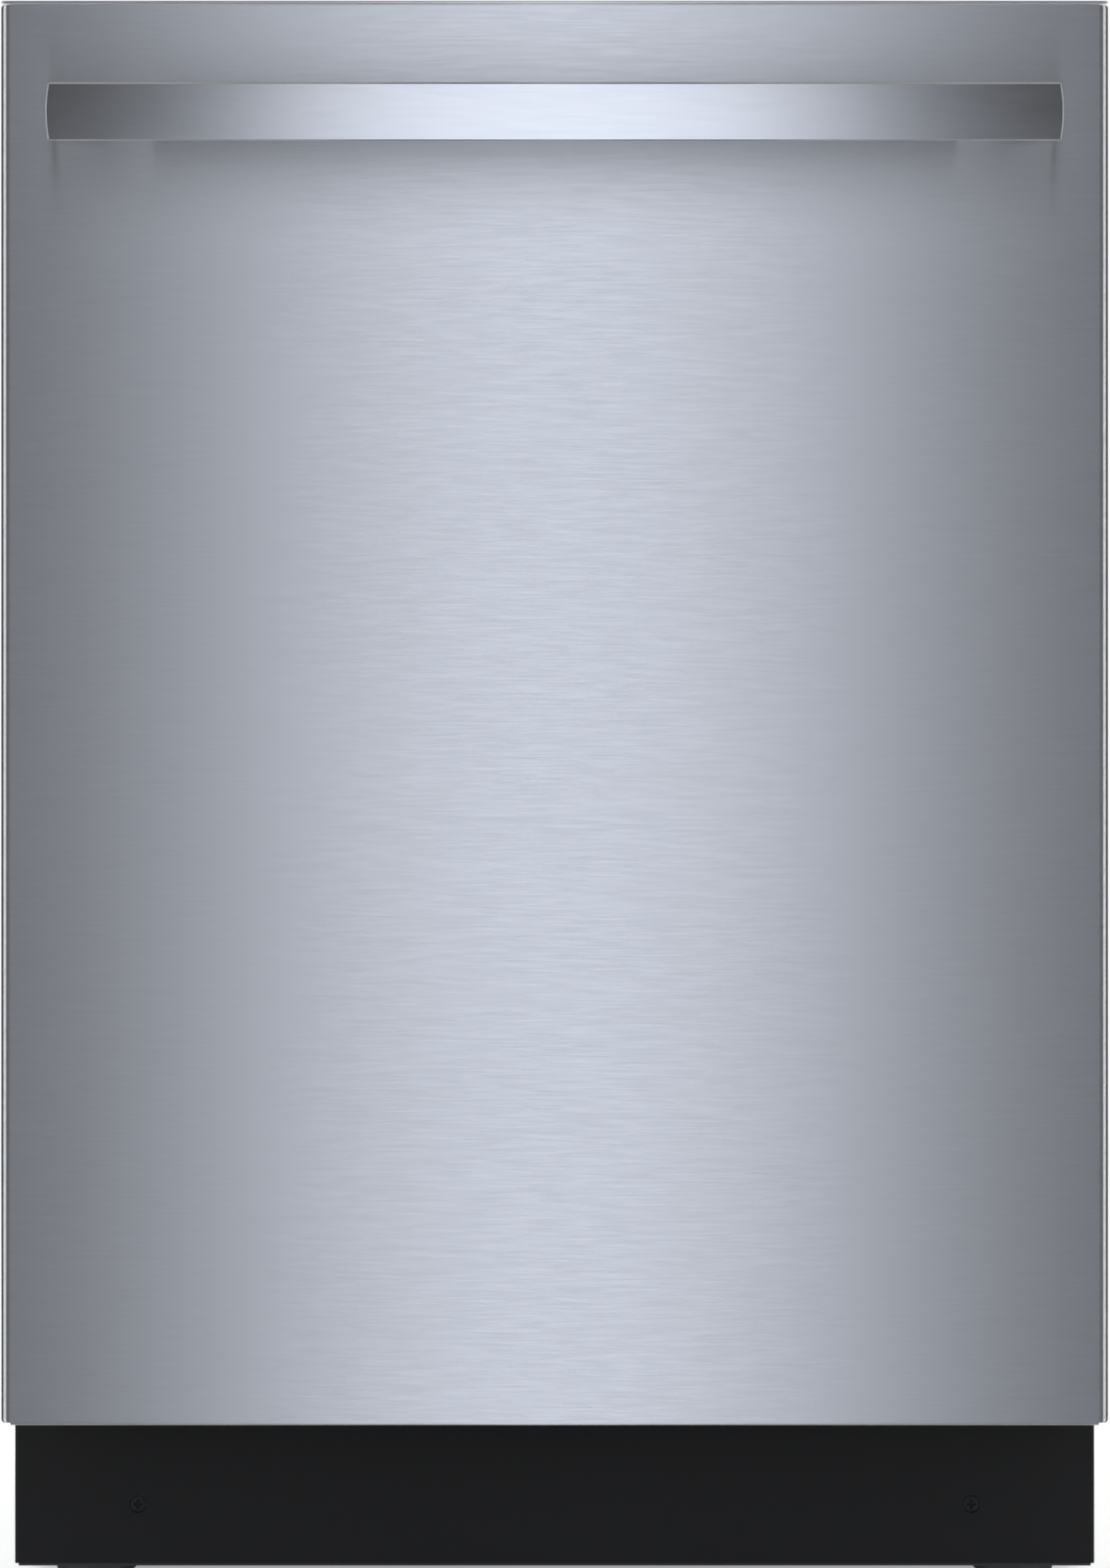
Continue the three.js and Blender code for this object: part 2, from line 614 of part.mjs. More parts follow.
const BUTTONS = ['power', 'cycle', 'options', 'delay', 'dry', 'start'];
const BUTTON_Y = -251;
const BUTTON_XS = BUTTONS.map((_, index) => -200 + 56 * index + (index > 2 ? 120 : 0));
const BUTTON_SIZE = { width: 22, depth: 9, radius: 3 };

function buttonBlock(x, grow, [bottom, top]) {
  const { width, depth, radius } = BUTTON_SIZE;
  const outline = roundedRectangle(width + 2 * grow, depth + 2 * grow, radius + grow);
  return toSolid(extruded(outline, top - bottom, 2).translate(x, BUTTON_Y, bottom));
}

const CONTROL_TOP = 858.2;
const CONTROL_WALL = 2.5;
const CONTROL_HALF = 291;
const CONTROL_Y = [-277.6, -229.5];
const DISPLAY = { x: [-21, 59], y: [-258, -244] };
const LATCH_HALF = 33.4;

function controlPanel() {
  const outer = block([-CONTROL_HALF, CONTROL_HALF], CONTROL_Y, [835, CONTROL_TOP]);
  const inner = CONTROL_HALF - CONTROL_WALL;
  const insideY = [CONTROL_Y[0] + CONTROL_WALL, CONTROL_Y[1] - CONTROL_WALL];
  let panel = outer.subtract(block([-inner, inner], insideY, [834, CONTROL_TOP - CONTROL_WALL]));
  panel = panel.subtract(block([-LATCH_HALF - 0.6, LATCH_HALF + 0.6], [-235, -225], [834, 850]));
  panel = panel.subtract(block(DISPLAY.x, DISPLAY.y, [CONTROL_TOP - 1, CONTROL_TOP + 1]));
  for (const x of BUTTON_XS) {
    panel = panel.subtract(buttonBlock(x, 0.4, [CONTROL_TOP - 5, CONTROL_TOP + 1]));
  }
  return panel;
}

function displayWindow() {
  const inset = ([low, high]) => [low + CLEARANCE, high - CLEARANCE];
  return block(inset(DISPLAY.x), inset(DISPLAY.y), [CONTROL_TOP - 1 + CLEARANCE, CONTROL_TOP + 0.1]);
}

// The latch's case, with a slot that the strike enters.
function doorLatch() {
  const housing = block([-LATCH_HALF, LATCH_HALF], [-262, -229.6], [836, 849]);
  return housing.subtract(block([-17, 17], [-247, -228], [839.5, 850]));
}

function handleBar() {
  const height = HANDLE_TOP - HANDLE_BOTTOM;
  const depth = HANDLE_BACK_Y - HANDLE_FRONT_Y;
  const section = new THREE.Shape();
  const corner = 2.5;
  const crown = 1.5; // the front face is a little convex
  section.moveTo(depth, corner);
  section.lineTo(depth, height - corner);
  section.absarc(depth - corner, height - corner, corner, 0, Math.PI / 2);
  section.lineTo(crown + corner, height);
  section.absarc(crown + corner, height - corner, corner, Math.PI / 2, Math.PI);
  section.quadraticCurveTo(-crown, height / 2, crown, corner);
  section.absarc(crown + corner, corner, corner, Math.PI, Math.PI * 1.5);
  section.lineTo(depth - corner, 0);
  section.absarc(depth - corner, corner, corner, -Math.PI / 2, 0);
  const bar = extruded(section, 2 * HANDLE_HALF, 5);
  bar.rotateX(Math.PI / 2).rotateZ(Math.PI / 2);
  bar.translate(-HANDLE_HALF, HANDLE_FRONT_Y, HANDLE_BOTTOM);
  return toSolid(bar);
}

function handleStandoff(sign) {
  const y = [HANDLE_BACK_Y + CLEARANCE, FACE_Y - CLEARANCE];
  const z = [HANDLE_BOTTOM + 2.4, HANDLE_TOP - 2.4];
  return block(span(sign, STANDOFF_INNER, STANDOFF_OUTER), y, z);
}

const DISPENSER_Y = LINER_Y - DISH_DEPTH; // the sunken face around it
const LID_Y = [-234.6, -231.6];
const CUP = { x: [-84, -8], z: [574, 646] };
const CAP = { x: 48, z: 610, radius: 21 };

function dispenserBody() {
  const x = [-WELL_HALF, WELL_HALF];
  const well = block(x, [-272, DISPENSER_Y], WELL_Z);
  const rim = block([-104, 104], [DISPENSER_Y + CLEARANCE, -235], [WELL_Z[0] - 8, WELL_Z[1] + 8]);
  const joined = well.add(rim).add(block(x, [-250, -236], WELL_Z));
  const cup = block(CUP.x, [-266, -230], CUP.z);
  const capHole = rod('y', 8.4, [-250, -230], [CAP.x, CAP.z]);
  const back = block([2, 90], [-273, -252], [565, 655]);
  return joined.subtract(cup).subtract(capHole).subtract(back);
}

function dispenserLid() {
  const plate = block([CUP.x[0] - 6, CUP.x[1] + 6], LID_Y, [CUP.z[0] - 6, CUP.z[1] + 6]);
  return plate.add(block([-62, -30], [LID_Y[1] - 0.4, -229.6], [578, 584]));
}

function rinseAidCap() {
  const disc = rod('y', CAP.radius, LID_Y, [CAP.x, CAP.z], 28);
  const grip = block([CAP.x - 16, CAP.x + 16], [LID_Y[1] - 0.4, -229.4], [CAP.z - 3, CAP.z + 3]);
  return disc.add(grip).add(rod('y', 8, [-246, -234], [CAP.x, CAP.z]));
}

add('door_outer_panel', doorOuterPanel(), steel);
add('door_inner_liner', doorInnerLiner(), steel);
add('control_panel', controlPanel(), blackPlastic);
add('display_window', displayWindow(), glass);
BUTTONS.forEach((name, index) => {
  add(`button_${name}`, buttonBlock(BUTTON_XS[index], 0, [CONTROL_TOP - 5, CONTROL_TOP + 1.4]), buttonPlastic);
});
add('door_latch', doorLatch(), blackPlastic);
add('handle_bar', handleBar(), polishedSteel);
for (const [side, sign] of SIDES) {
  add(`handle_standoff_${side}`, handleStandoff(sign), polishedSteel);
}
add('dispenser_body', dispenserBody(), greyPlastic);
add('dispenser_lid', dispenserLid(), greyPlastic);
add('rinse_aid_cap', rinseAidCap(), greyPlastic);

// ---------------------------------------------------------------- racks

function lowerRack() {
  let rack = wireBasket({
    half: RACK_HALF,
    frontY: LOWER_RACK_FRONT_Y,
    rearY: LOWER_RACK_REAR_Y,
    floorZ: LOWER_RACK_FLOOR,
    height: LOWER_RACK_HEIGHT,
    columns: 6,
    rows: 5,
    tiers: 2,
  });
  for (const [, sign] of SIDES) {
    for (const y of Object.values(WHEEL_YS)) {
      const hanger = block(span(sign, 252, 257), [y - 9, y + 9], [AXLE_Z - 7, LOWER_RACK_FLOOR + 20]);
      rack = rack.add(hanger).add(rod('x', 4, span(sign, 256, 273), [y, AXLE_Z], 16));
    }
  }
  return rack;
}

function rackWheel(sign, y) {
  const tread = rod('x', WHEEL_RADIUS, span(sign, 259.5, 269.5), [y, AXLE_Z], 28);
  return tread.subtract(rod('x', 4.4, span(sign, 258, 275), [y, AXLE_Z], 16));
}

const TINES = { y: 120, z: LOWER_RACK_FLOOR + WIRE + 5, from: -226, to: 94, pitch: 40, height: 96 };

// A comb of plate supports on one rod that lies in the lower rack's floor.
function foldingTines() {
  const { y, z, from, to, pitch, height } = TINES;
  let comb = rod('x', 3, [from - 10, to + 6], [y, z], 12);
  for (let x = from; x <= to; x += pitch) {
    comb = comb.add(rod('z', 2, [z, z + height], [x, y], 6));
  }
  return comb;
}

function cutleryBasket() {
  const x = [150, 244];
  const y = [-130, 116];
  const z = [LOWER_RACK_FLOOR + WIRE + CLEARANCE, 306];
  let basket = block(x, y, z);
  const wall = 3;
  const rows = 4;
  const cellX = (x[1] - x[0] - 3 * wall) / 2;
  const cellY = (y[1] - y[0] - (rows + 1) * wall) / rows;
  for (let column = 0; column < 2; column += 1) {
    for (let row = 0; row < rows; row += 1) {
      const left = x[0] + wall + column * (cellX + wall);
      const front = y[0] + wall + row * (cellY + wall);
      const cellZ = [z[0] + wall, z[1] + 1];
      basket = basket.subtract(block([left, left + cellX], [front, front + cellY], cellZ));
    }
  }
  return basket;
}

// The upper rack with its two runners, and the duct under its floor that feeds the upper arm.
function upperRack() {
  let rack = wireBasket({
    half: RACK_HALF,
    frontY: UPPER_RACK_FRONT_Y,
    rearY: UPPER_RACK_REAR_Y,
    floorZ: UPPER_RACK_FLOOR,
    height: UPPER_RACK_HEIGHT,
    columns: 6,
    rows: 6,
    tiers: 2,
  });
  for (const [, sign] of SIDES) {
    rack = rack.add(block(span(sign, ...RUNNER_X), [-196, 262], [RAIL_Z - 8, RAIL_Z + 8]));
    for (const y of [-150, 30, 210]) {
      rack = rack.add(block(span(sign, RACK_HALF - 1, 267), [y - 12, y + 12], [RAIL_Z - 5, RAIL_Z + 5]));
    }
  }
  const ductY = [ARM_Y - FEED_RADIUS, FEED_REAR_Y - FEED_RADIUS - 0.5];
  const duct = block([-FEED_RADIUS, FEED_RADIUS], ductY, [539, UPPER_RACK_FLOOR + 1]);
  const spigot = rod('z', FEED_RADIUS, [530, 541], [0, ARM_Y]);
  return rack.add(duct).add(spigot);
}

const SHELF = { x: [-250.9, -150], y: [-150, 90], z: 622 };

// A shelf for cups that swings up against the rack's left wall about its outer edge.
function cupShelf() {
  return grid(SHELF.x, SHELF.y, SHELF.z - WIRE / 2, 2, 4);
}

add('lower_rack', lowerRack(), rackCoating);
for (const [side, sign] of SIDES) {
  for (const [place, y] of Object.entries(WHEEL_YS)) {
    add(`rack_wheel_${place}_${side}`, rackWheel(sign, y), greyPlastic);
  }
}
add('folding_tines', foldingTines(), rackCoating);
add('cutlery_basket', cutleryBasket(), greyPlastic);
add('upper_rack', upperRack(), rackCoating);
add('cup_shelf', cupShelf(), rackCoating);

export default dishwasher;
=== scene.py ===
"""A built-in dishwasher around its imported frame: steel door with a bar handle, wire racks, spray arms."""

import json
import math

import bmesh
import bpy
from mathutils import Matrix, Vector, noise


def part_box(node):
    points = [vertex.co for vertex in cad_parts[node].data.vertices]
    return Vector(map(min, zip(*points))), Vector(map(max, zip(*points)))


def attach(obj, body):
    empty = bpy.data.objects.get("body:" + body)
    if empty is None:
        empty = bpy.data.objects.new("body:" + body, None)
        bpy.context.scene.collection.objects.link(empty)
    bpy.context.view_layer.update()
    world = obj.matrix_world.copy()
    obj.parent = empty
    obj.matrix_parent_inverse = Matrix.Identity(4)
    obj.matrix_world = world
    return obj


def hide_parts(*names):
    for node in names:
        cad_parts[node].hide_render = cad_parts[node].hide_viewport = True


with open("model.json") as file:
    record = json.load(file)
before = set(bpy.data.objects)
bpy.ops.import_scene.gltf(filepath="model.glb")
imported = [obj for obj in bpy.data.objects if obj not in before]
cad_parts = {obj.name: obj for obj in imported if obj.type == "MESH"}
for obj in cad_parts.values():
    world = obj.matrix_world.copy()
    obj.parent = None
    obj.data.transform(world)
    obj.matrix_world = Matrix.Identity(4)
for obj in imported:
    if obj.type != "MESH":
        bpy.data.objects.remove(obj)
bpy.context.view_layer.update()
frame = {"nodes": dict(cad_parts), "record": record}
BODIES = frame["record"]["behaviour"]["bodies"]
BODY_OF = {node: body for body, nodes in BODIES.items() for node in nodes}
SLOT_OF = {part["node"]: part["material_slot"] for part in frame["record"]["subparts"]}
SIDES = (("left", -1), ("right", 1))
CORNERS = [(place, side) for side, _ in SIDES for place in ("front", "rear")]

# ------------------------------------------------------------------ camera, floor and light, in metres

DOOR_LOW, DOOR_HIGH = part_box("door_outer_panel")
FACE_Y = DOOR_LOW.y
IMAGE_WIDTH, IMAGE_HEIGHT = 1214, 1715
CAMERA_DISTANCE = 2.93  # in front of the door's face
CAMERA_HEIGHT = 0.4368
SEEN_WIDTH = (DOOR_HIGH.x - DOOR_LOW.x) * 1.00165  # the door almost fills the picture's width
SENSOR = 36
WORLD_FRONT, WORLD_BACK = 0.03, 0.5
DOME_AXIS = (0, 0.5, 0.87)
DOME_EDGE, DOME_HEART = 0.4, 0.95  # how near the axis the dome starts and is brightest, as a cosine
STRIP_AHEAD, STRIP_HEIGHT, STRIP_SIZE, STRIP_POWER = 3.4, 0.6, (0.64, 8.0), 35
STRIP_COLOUR = (0.833, 0.881, 1)
EDGE_REACH, EDGE_HEIGHT, EDGE_SIZE, EDGE_POWER = 2.5, 0.5, (0.55, 5.0), 20
EDGE_COLOUR = (0.93, 0.96, 1)


def new_object(name, data):
    item = bpy.data.objects.new(name, data)
    bpy.context.scene.collection.objects.link(item)
    return item


def add_node(tree, kind, inputs=None, **settings):
    """A shader node. Each of its inputs is a constant or the output that feeds it."""
    node = tree.nodes.new("ShaderNode" + kind)
    for name, value in settings.items():
        setattr(node, name, value)
    for socket, value in (inputs or {}).items():
        if isinstance(value, bpy.types.NodeSocket):
            tree.links.new(value, node.inputs[socket])
        else:
            node.inputs[socket].default_value = value
    return node


def remap(tree, value, span, result, **settings):
    """As value goes over span, the output goes over result."""
    inputs = {"Value": value, "From Min": span[0], "From Max": span[1], "To Min": result[0], "To Max": result[1]}
    return add_node(tree, "MapRange", inputs, **settings).outputs["Result"]


def make_camera():
    data = bpy.data.cameras.new("camera")
    data.sensor_width = SENSOR
    data.lens = SENSOR * CAMERA_DISTANCE / (SEEN_WIDTH * IMAGE_HEIGHT / IMAGE_WIDTH)
    camera = new_object("camera", data)
    camera.location = (0.0002, FACE_Y - CAMERA_DISTANCE, CAMERA_HEIGHT)
    camera.rotation_euler = (math.pi / 2, 0, 0)
    bpy.context.scene.camera = camera


def make_world():
    """White to the eye. What it lights sees a dim room with a bright dome above and behind the machine."""
    world = bpy.data.worlds.new("studio")
    bpy.context.scene.world = world
    world.use_nodes = True
    tree = world.node_tree
    tree.nodes.clear()
    direction = add_node(tree, "TexCoord").outputs["Generated"]
    unsigned = add_node(tree, "VectorMath", {0: direction}, operation="ABSOLUTE").outputs["Vector"]
    ahead = add_node(tree, "SeparateXYZ", {0: direction}).outputs["Y"]
    height = add_node(tree, "SeparateXYZ", {0: unsigned}).outputs["Z"]
    upright = add_node(tree, "CombineXYZ", {"Y": ahead, "Z": height}).outputs["Vector"]
    near = add_node(tree, "VectorMath", {0: upright, 1: DOME_AXIS}, operation="DOT_PRODUCT").outputs["Value"]
    strength = remap(tree, near, (DOME_EDGE, DOME_HEART), (WORLD_FRONT, WORLD_BACK),
                     interpolation_type="SMOOTHSTEP")
    lit = add_node(tree, "Background", {"Color": (1, 0.985, 0.955, 1), "Strength": strength}).outputs[0]
    seen = add_node(tree, "Background", {"Color": (1, 1, 1, 1)}).outputs[0]
    camera_ray = add_node(tree, "LightPath").outputs["Is Camera Ray"]
    mix = add_node(tree, "MixShader", {0: camera_ray, 1: lit, 2: seen}).outputs[0]
    add_node(tree, "OutputWorld", {"Surface": mix})


def make_floor():
    """A pale floor that fades into the white around it."""
    mesh = bpy.data.meshes.new("floor")
    reach = 6
    corners = [Vector((x * reach, y * reach, 0)) for x, y in ((-1, -1), (1, -1), (1, 1), (-1, 1))]
    mesh.from_pydata(corners, [], [(0, 1, 2, 3)])
    pale = Surface("pale_floor", (0.9, 0.9, 0.9), 0.9, 0, Emission_Color=(1, 1, 1, 1), Emission_Strength=0.35)
    distance = add_node(pale.tree, "VectorMath", {0: pale.place}, operation="LENGTH").outputs["Value"]
    pale.feed("Alpha", remap(pale.tree, distance, (1.2, 4.5), (1, 0), interpolation_type="SMOOTHSTEP"))
    mesh.materials.append(pale.material)
    floor = new_object("floor", mesh)
    floor.visible_glossy = False
    floor.visible_shadow = False


def area_light(name, place, target, size, power, colour=(1, 1, 1)):
    data = bpy.data.lights.new(name, "AREA")
    data.shape = "RECTANGLE"
    data.size, data.size_y = size
    data.energy = power
    data.color = colour
    light = new_object(name, data)
    light.location = place
    light.rotation_euler = (Vector(target) - Vector(place)).to_track_quat("-Z", "Y").to_euler()
    return light


def make_lights():
    """A tall strip ahead, whose streak the door and the handle show, fills that leave no highlight,
    and narrow strips on both sides for the door's folds."""
    place, target = (0, FACE_Y - STRIP_AHEAD, STRIP_HEIGHT), (0, FACE_Y, STRIP_HEIGHT)
    area_light("strip", place, target, STRIP_SIZE, STRIP_POWER, STRIP_COLOUR)
    area_light("top_fill", (0, 0.3, 2.8), (0, 0.3, 0.5), (3.2, 2.4), 60).visible_glossy = False
    for number, x in enumerate((-3, 3)):
        fill = area_light(f"side_fill_{number}", (x, 1.2, 1.3), (0, 0.1, 0.4), (2.2, 2.4), 45)
        fill.visible_glossy = False
    for side in (-1, 1):
        target = (side * 0.3, FACE_Y, EDGE_HEIGHT)
        for degrees in (32, 55, 78):
            a = math.radians(degrees)
            place = (side * (0.3 + EDGE_REACH * math.sin(a)), FACE_Y - EDGE_REACH * math.cos(a), EDGE_HEIGHT)
            area_light(f"edge_strip_{degrees}_{side + 1}", place, target, EDGE_SIZE, EDGE_POWER, EDGE_COLOUR)


# ------------------------------------------------------------------ materials


class Surface:
    """A Principled material and the procedural nodes that vary it, in the object's metres."""

    def __init__(self, name, colour, roughness, metallic, **constants):
        self.material = bpy.data.materials.new(name)
        self.material.use_nodes = True
        self.tree = self.material.node_tree
        self.shader = self.tree.nodes["Principled BSDF"]
        constants |= {"Base_Color": (*colour, 1), "Roughness": roughness, "Metallic": metallic}
        for socket, value in constants.items():
            self.shader.inputs[socket.replace("_", " ")].default_value = value
        self.place = add_node(self.tree, "TexCoord").outputs["Object"]
        self.normal = None

    def feed(self, socket, output):
        self.tree.links.new(output, self.shader.inputs[socket])

    def noise(self, scale, detail=3.0, roughness=0.55):
        """Noise with scale cells to the metre, alike or one number for each axis."""
        scale = scale if isinstance(scale, tuple) else (scale,) * 3
        stretched = add_node(self.tree, "Mapping", {"Vector": self.place, "Scale": scale}).outputs["Vector"]
        inputs = {"Vector": stretched, "Scale": 1.0, "Detail": detail, "Roughness": roughness}
        return add_node(self.tree, "TexNoise", inputs).outputs["Fac"]

    def tint(self, value, colour, dark, light, start=0.3, end=0.7):
        """The colour times dark to light as value goes from start to end."""
        ramp = add_node(self.tree, "ValToRGB", {"Fac": value})
        for element, position, factor in zip(ramp.color_ramp.elements, (start, end), (dark, light)):
            element.position = position
            element.color = (*(min(1.0, c * factor) for c in colour), 1)
        self.feed("Base Color", ramp.outputs["Color"])

    def rough(self, value, low, high):
        self.feed("Roughness", remap(self.tree, value, (0.3, 0.7), (low, high)))

    def bump(self, value, strength, distance):
        """Bumps on top of those that are there already."""
        inputs = {"Height": value, "Strength": strength, "Distance": distance}
        if self.normal:
            inputs["Normal"] = self.normal
        self.normal = add_node(self.tree, "Bump", inputs).outputs["Normal"]
        self.feed("Normal", self.normal)


def brushed(name, colour, roughness, anisotropy, streak, contrast):
    """Steel with fine brush marks along X. Its highlights spread across the marks."""
    steel = Surface(name, colour, roughness, 1, Anisotropic=anisotropy, Anisotropic_Rotation=0.25)
    steel.feed("Tangent", add_node(steel.tree, "Tangent", direction_type="RADIAL", axis="Z").outputs["Tangent"])
    marks = steel.noise(streak, 2.5, 0.6)
    steel.tint(marks, colour, 1 - contrast, 1 + contrast)
    steel.rough(marks, roughness * 0.94, roughness * 1.06)
    steel.bump(marks, 0.04, 0.0001)
    return steel.material


def satin(name, colour, roughness, metallic, grain, bump, contrast, specular=0.5):
    """An even finish with a fine grain and slow changes of tone."""
    surface = Surface(name, colour, roughness, metallic, Specular_IOR_Level=specular)
    surface.tint(surface.noise(9.0, 4.0), colour, 1 - contrast, 1 + contrast)
    fine = surface.noise(grain, 2.0)
    surface.rough(fine, roughness * 0.9, min(1.0, roughness * 1.1))
    surface.bump(fine, bump, 0.0002)
    return surface.material


def felt(name, colour):
    surface = Surface(name, colour, 0.95, 0, Sheen_Weight=0.25, Sheen_Roughness=0.6)
    tufts = surface.noise(420, 5.0, 0.7)
    surface.tint(tufts, colour, 0.55, 1.9, 0.35, 0.68)
    surface.bump(tufts, 0.6, 0.0012)
    surface.bump(surface.noise(35), 0.4, 0.003)
    return surface.material


# Colour, roughness, anisotropy, cells of the brush marks, contrast.
BRUSHED = {
    "front_steel": ((0.655, 0.66, 0.665), 0.418, 0.943, (45, 700, 1100), 0.03),
    "handle_steel": ((0.57, 0.575, 0.58), 0.315, 1.0, (45, 700, 1100), 0.02),
    # The tub's steel is paler than the door's: painted light, a lighter colour standing in for light that the dim
    # room does not give the tub's inside.
    "tub_steel": ((0.8, 0.81, 0.82), 0.33, 0.35, (14, 500, 500), 0.02),
}
# Colour, roughness, metallic, cells of the grain, bump, contrast, and specular level where it isn't usual.
SATIN = {
    "zinc_steel": ((0.52, 0.54, 0.55), 0.42, 1, 240, 0.12, 0.12),
    "spring_steel": ((0.33, 0.34, 0.35), 0.35, 1, 300, 0.05, 0.1),
    "kick_paint": ((0.005, 0.005, 0.005), 0.62, 0, 1300, 0.1, 0.08, 0.21),
    "screw_black": ((0.005, 0.005, 0.005), 0.5, 0, 900, 0.08, 0.1, 0.25),
    "base_plastic": ((0.02, 0.021, 0.023), 0.55, 0, 1100, 0.18, 0.08),
    "grey_plastic": ((0.23, 0.25, 0.27), 0.45, 0, 1100, 0.12, 0.05),
    "wheel_plastic": ((0.33, 0.35, 0.37), 0.38, 0, 1100, 0.08, 0.05),
    "control_black": ((0.016, 0.017, 0.019), 0.32, 0, 1300, 0.08, 0.05),
    "button_plastic": ((0.05, 0.053, 0.058), 0.3, 0, 1300, 0.05, 0.05),
    "display_dark": ((0.006, 0.007, 0.009), 0.08, 0, 500, 0.01, 0.05),
    "rack_coating": ((0.29, 0.305, 0.325), 0.36, 0, 800, 0.06, 0.06),
    "seal_rubber": ((0.016, 0.016, 0.018), 0.6, 0, 700, 0.12, 0.1),
}
MATERIALS = {name: brushed(name, *look) for name, look in BRUSHED.items()}
MATERIALS |= {name: satin(name, *look) for name, look in SATIN.items()}
MATERIALS["blanket_felt"] = felt("blanket_felt", (0.055, 0.055, 0.06))

# ------------------------------------------------------------------ shapes, in millimetres

MM = 0.001
TUB_HALF, TUB_TOP, TUB_FLOOR = 281, 824, 110
RACK_HALF = 256
RISER_Y = 40  # the sump's riser and both spray arms turn on this line
PORT_HEIGHT = 78  # of the pumps' ports in the sump
HINGE_Y, HINGE_Z = -246, 112
CAP_X, CAP_Z = 48, 610  # the rinse-aid cap's middle on the door


def arc(centre, radius, start, end, steps=6):
    """Points of an arc between two angles in degrees, both ends included."""
    angles = [math.radians(start + (end - start) * i / steps) for i in range(steps + 1)]
    return [(centre[0] + radius * math.cos(a), centre[1] + radius * math.sin(a)) for a in angles]


def circle(radius, count):
    return arc((0, 0), radius, 0, 360 - 360 / count, count - 1)


def spread(low, high, count):
    return [low + (high - low) * i / (count - 1) for i in range(count)]


def around(centre, half):
    return centre - half, centre + half


def rounded_rectangle(low, high, radius, steps=4):
    """The outline of a rectangle with rounded corners, anticlockwise."""
    x0, y0, x1, y1 = low[0] + radius, low[1] + radius, high[0] - radius, high[1] - radius
    corners = ((x1, y1), (x0, y1), (x0, y0), (x1, y0))
    return [p for i, corner in enumerate(corners) for p in arc(corner, radius, 90 * i, 90 * i + 90, steps)]


def level_ring(x, y, z, inset, radius, steps=4):
    """A level rounded rectangle that far inside the spans x and y."""
    outline = rounded_rectangle((x[0] + inset, y[0] + inset), (x[1] - inset, y[1] - inset), radius, steps)
    return [(u, v, z) for u, v in outline]


def upright_ring(x, y, z, inset, radius, steps=4):
    """A rounded rectangle facing along Y, that far inside the spans x and z."""
    return [(u, y, v) for u, v, _ in level_ring(x, z, 0, inset, radius, steps)]


def rounded_path(corners, radius, steps=5):
    """The corners joined by straight runs, with each inner corner rounded off."""
    corners = [Vector(c) for c in corners]
    path = [corners[0]]
    for before, corner, after in zip(corners, corners[1:], corners[2:]):
        reach = min(radius, (before - corner).length / 2, (after - corner).length / 2)
        start = corner + (before - corner).normalized() * reach
        end = corner + (after - corner).normalized() * reach
        for t in spread(0, 1, steps + 1):
            path.append(start * (1 - t) ** 2 + corner * 2 * t * (1 - t) + end * t ** 2)
    return path + [corners[-1]]


def bent_strip(corners, thickness, radius):
    """The outline of a sheet of the given thickness bent along flat corners."""
    path = [p.to_2d() for p in rounded_path([(u, v, 0) for u, v in corners], radius)]
    path = [p for i, p in enumerate(path) if i == 0 or (p - path[i - 1]).length > 0.01]
    left, right = [], []
    for i, point in enumerate(path):
        along = path[min(i + 1, len(path) - 1)] - path[max(i - 1, 0)]
        across = Vector((-along.y, along.x)).normalized() * thickness / 2
        left.append(point + across)
        right.append(point - across)
    return [tuple(p) for p in left + right[::-1]]


def disc(radius, start, end):
    """A solid cylinder's profile, for turned."""
    return [(0, start), (radius, start), (radius, end), (0, end)]


def sleeve(inner, outer, start, end):
    """A hollow cylinder's profile, for turned."""
    return [(inner, start), (outer, start), (outer, end), (inner, end)]


def spans(node):
    """A node's box as x, y and z spans."""
    low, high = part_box(node)
    return [(low[i] / MM, high[i] / MM) for i in range(3)]


def middle(node):
    return [(low + high) / 2 for low, high in spans(node)]


# Where an outline's two directions and its depth lie in space.
PLANES = {
    "X": lambda u, v, w: Vector((w, u, v)),
    "Y": lambda u, v, w: Vector((u, w, v)),
    "Z": lambda u, v, w: Vector((u, v, w)),
}


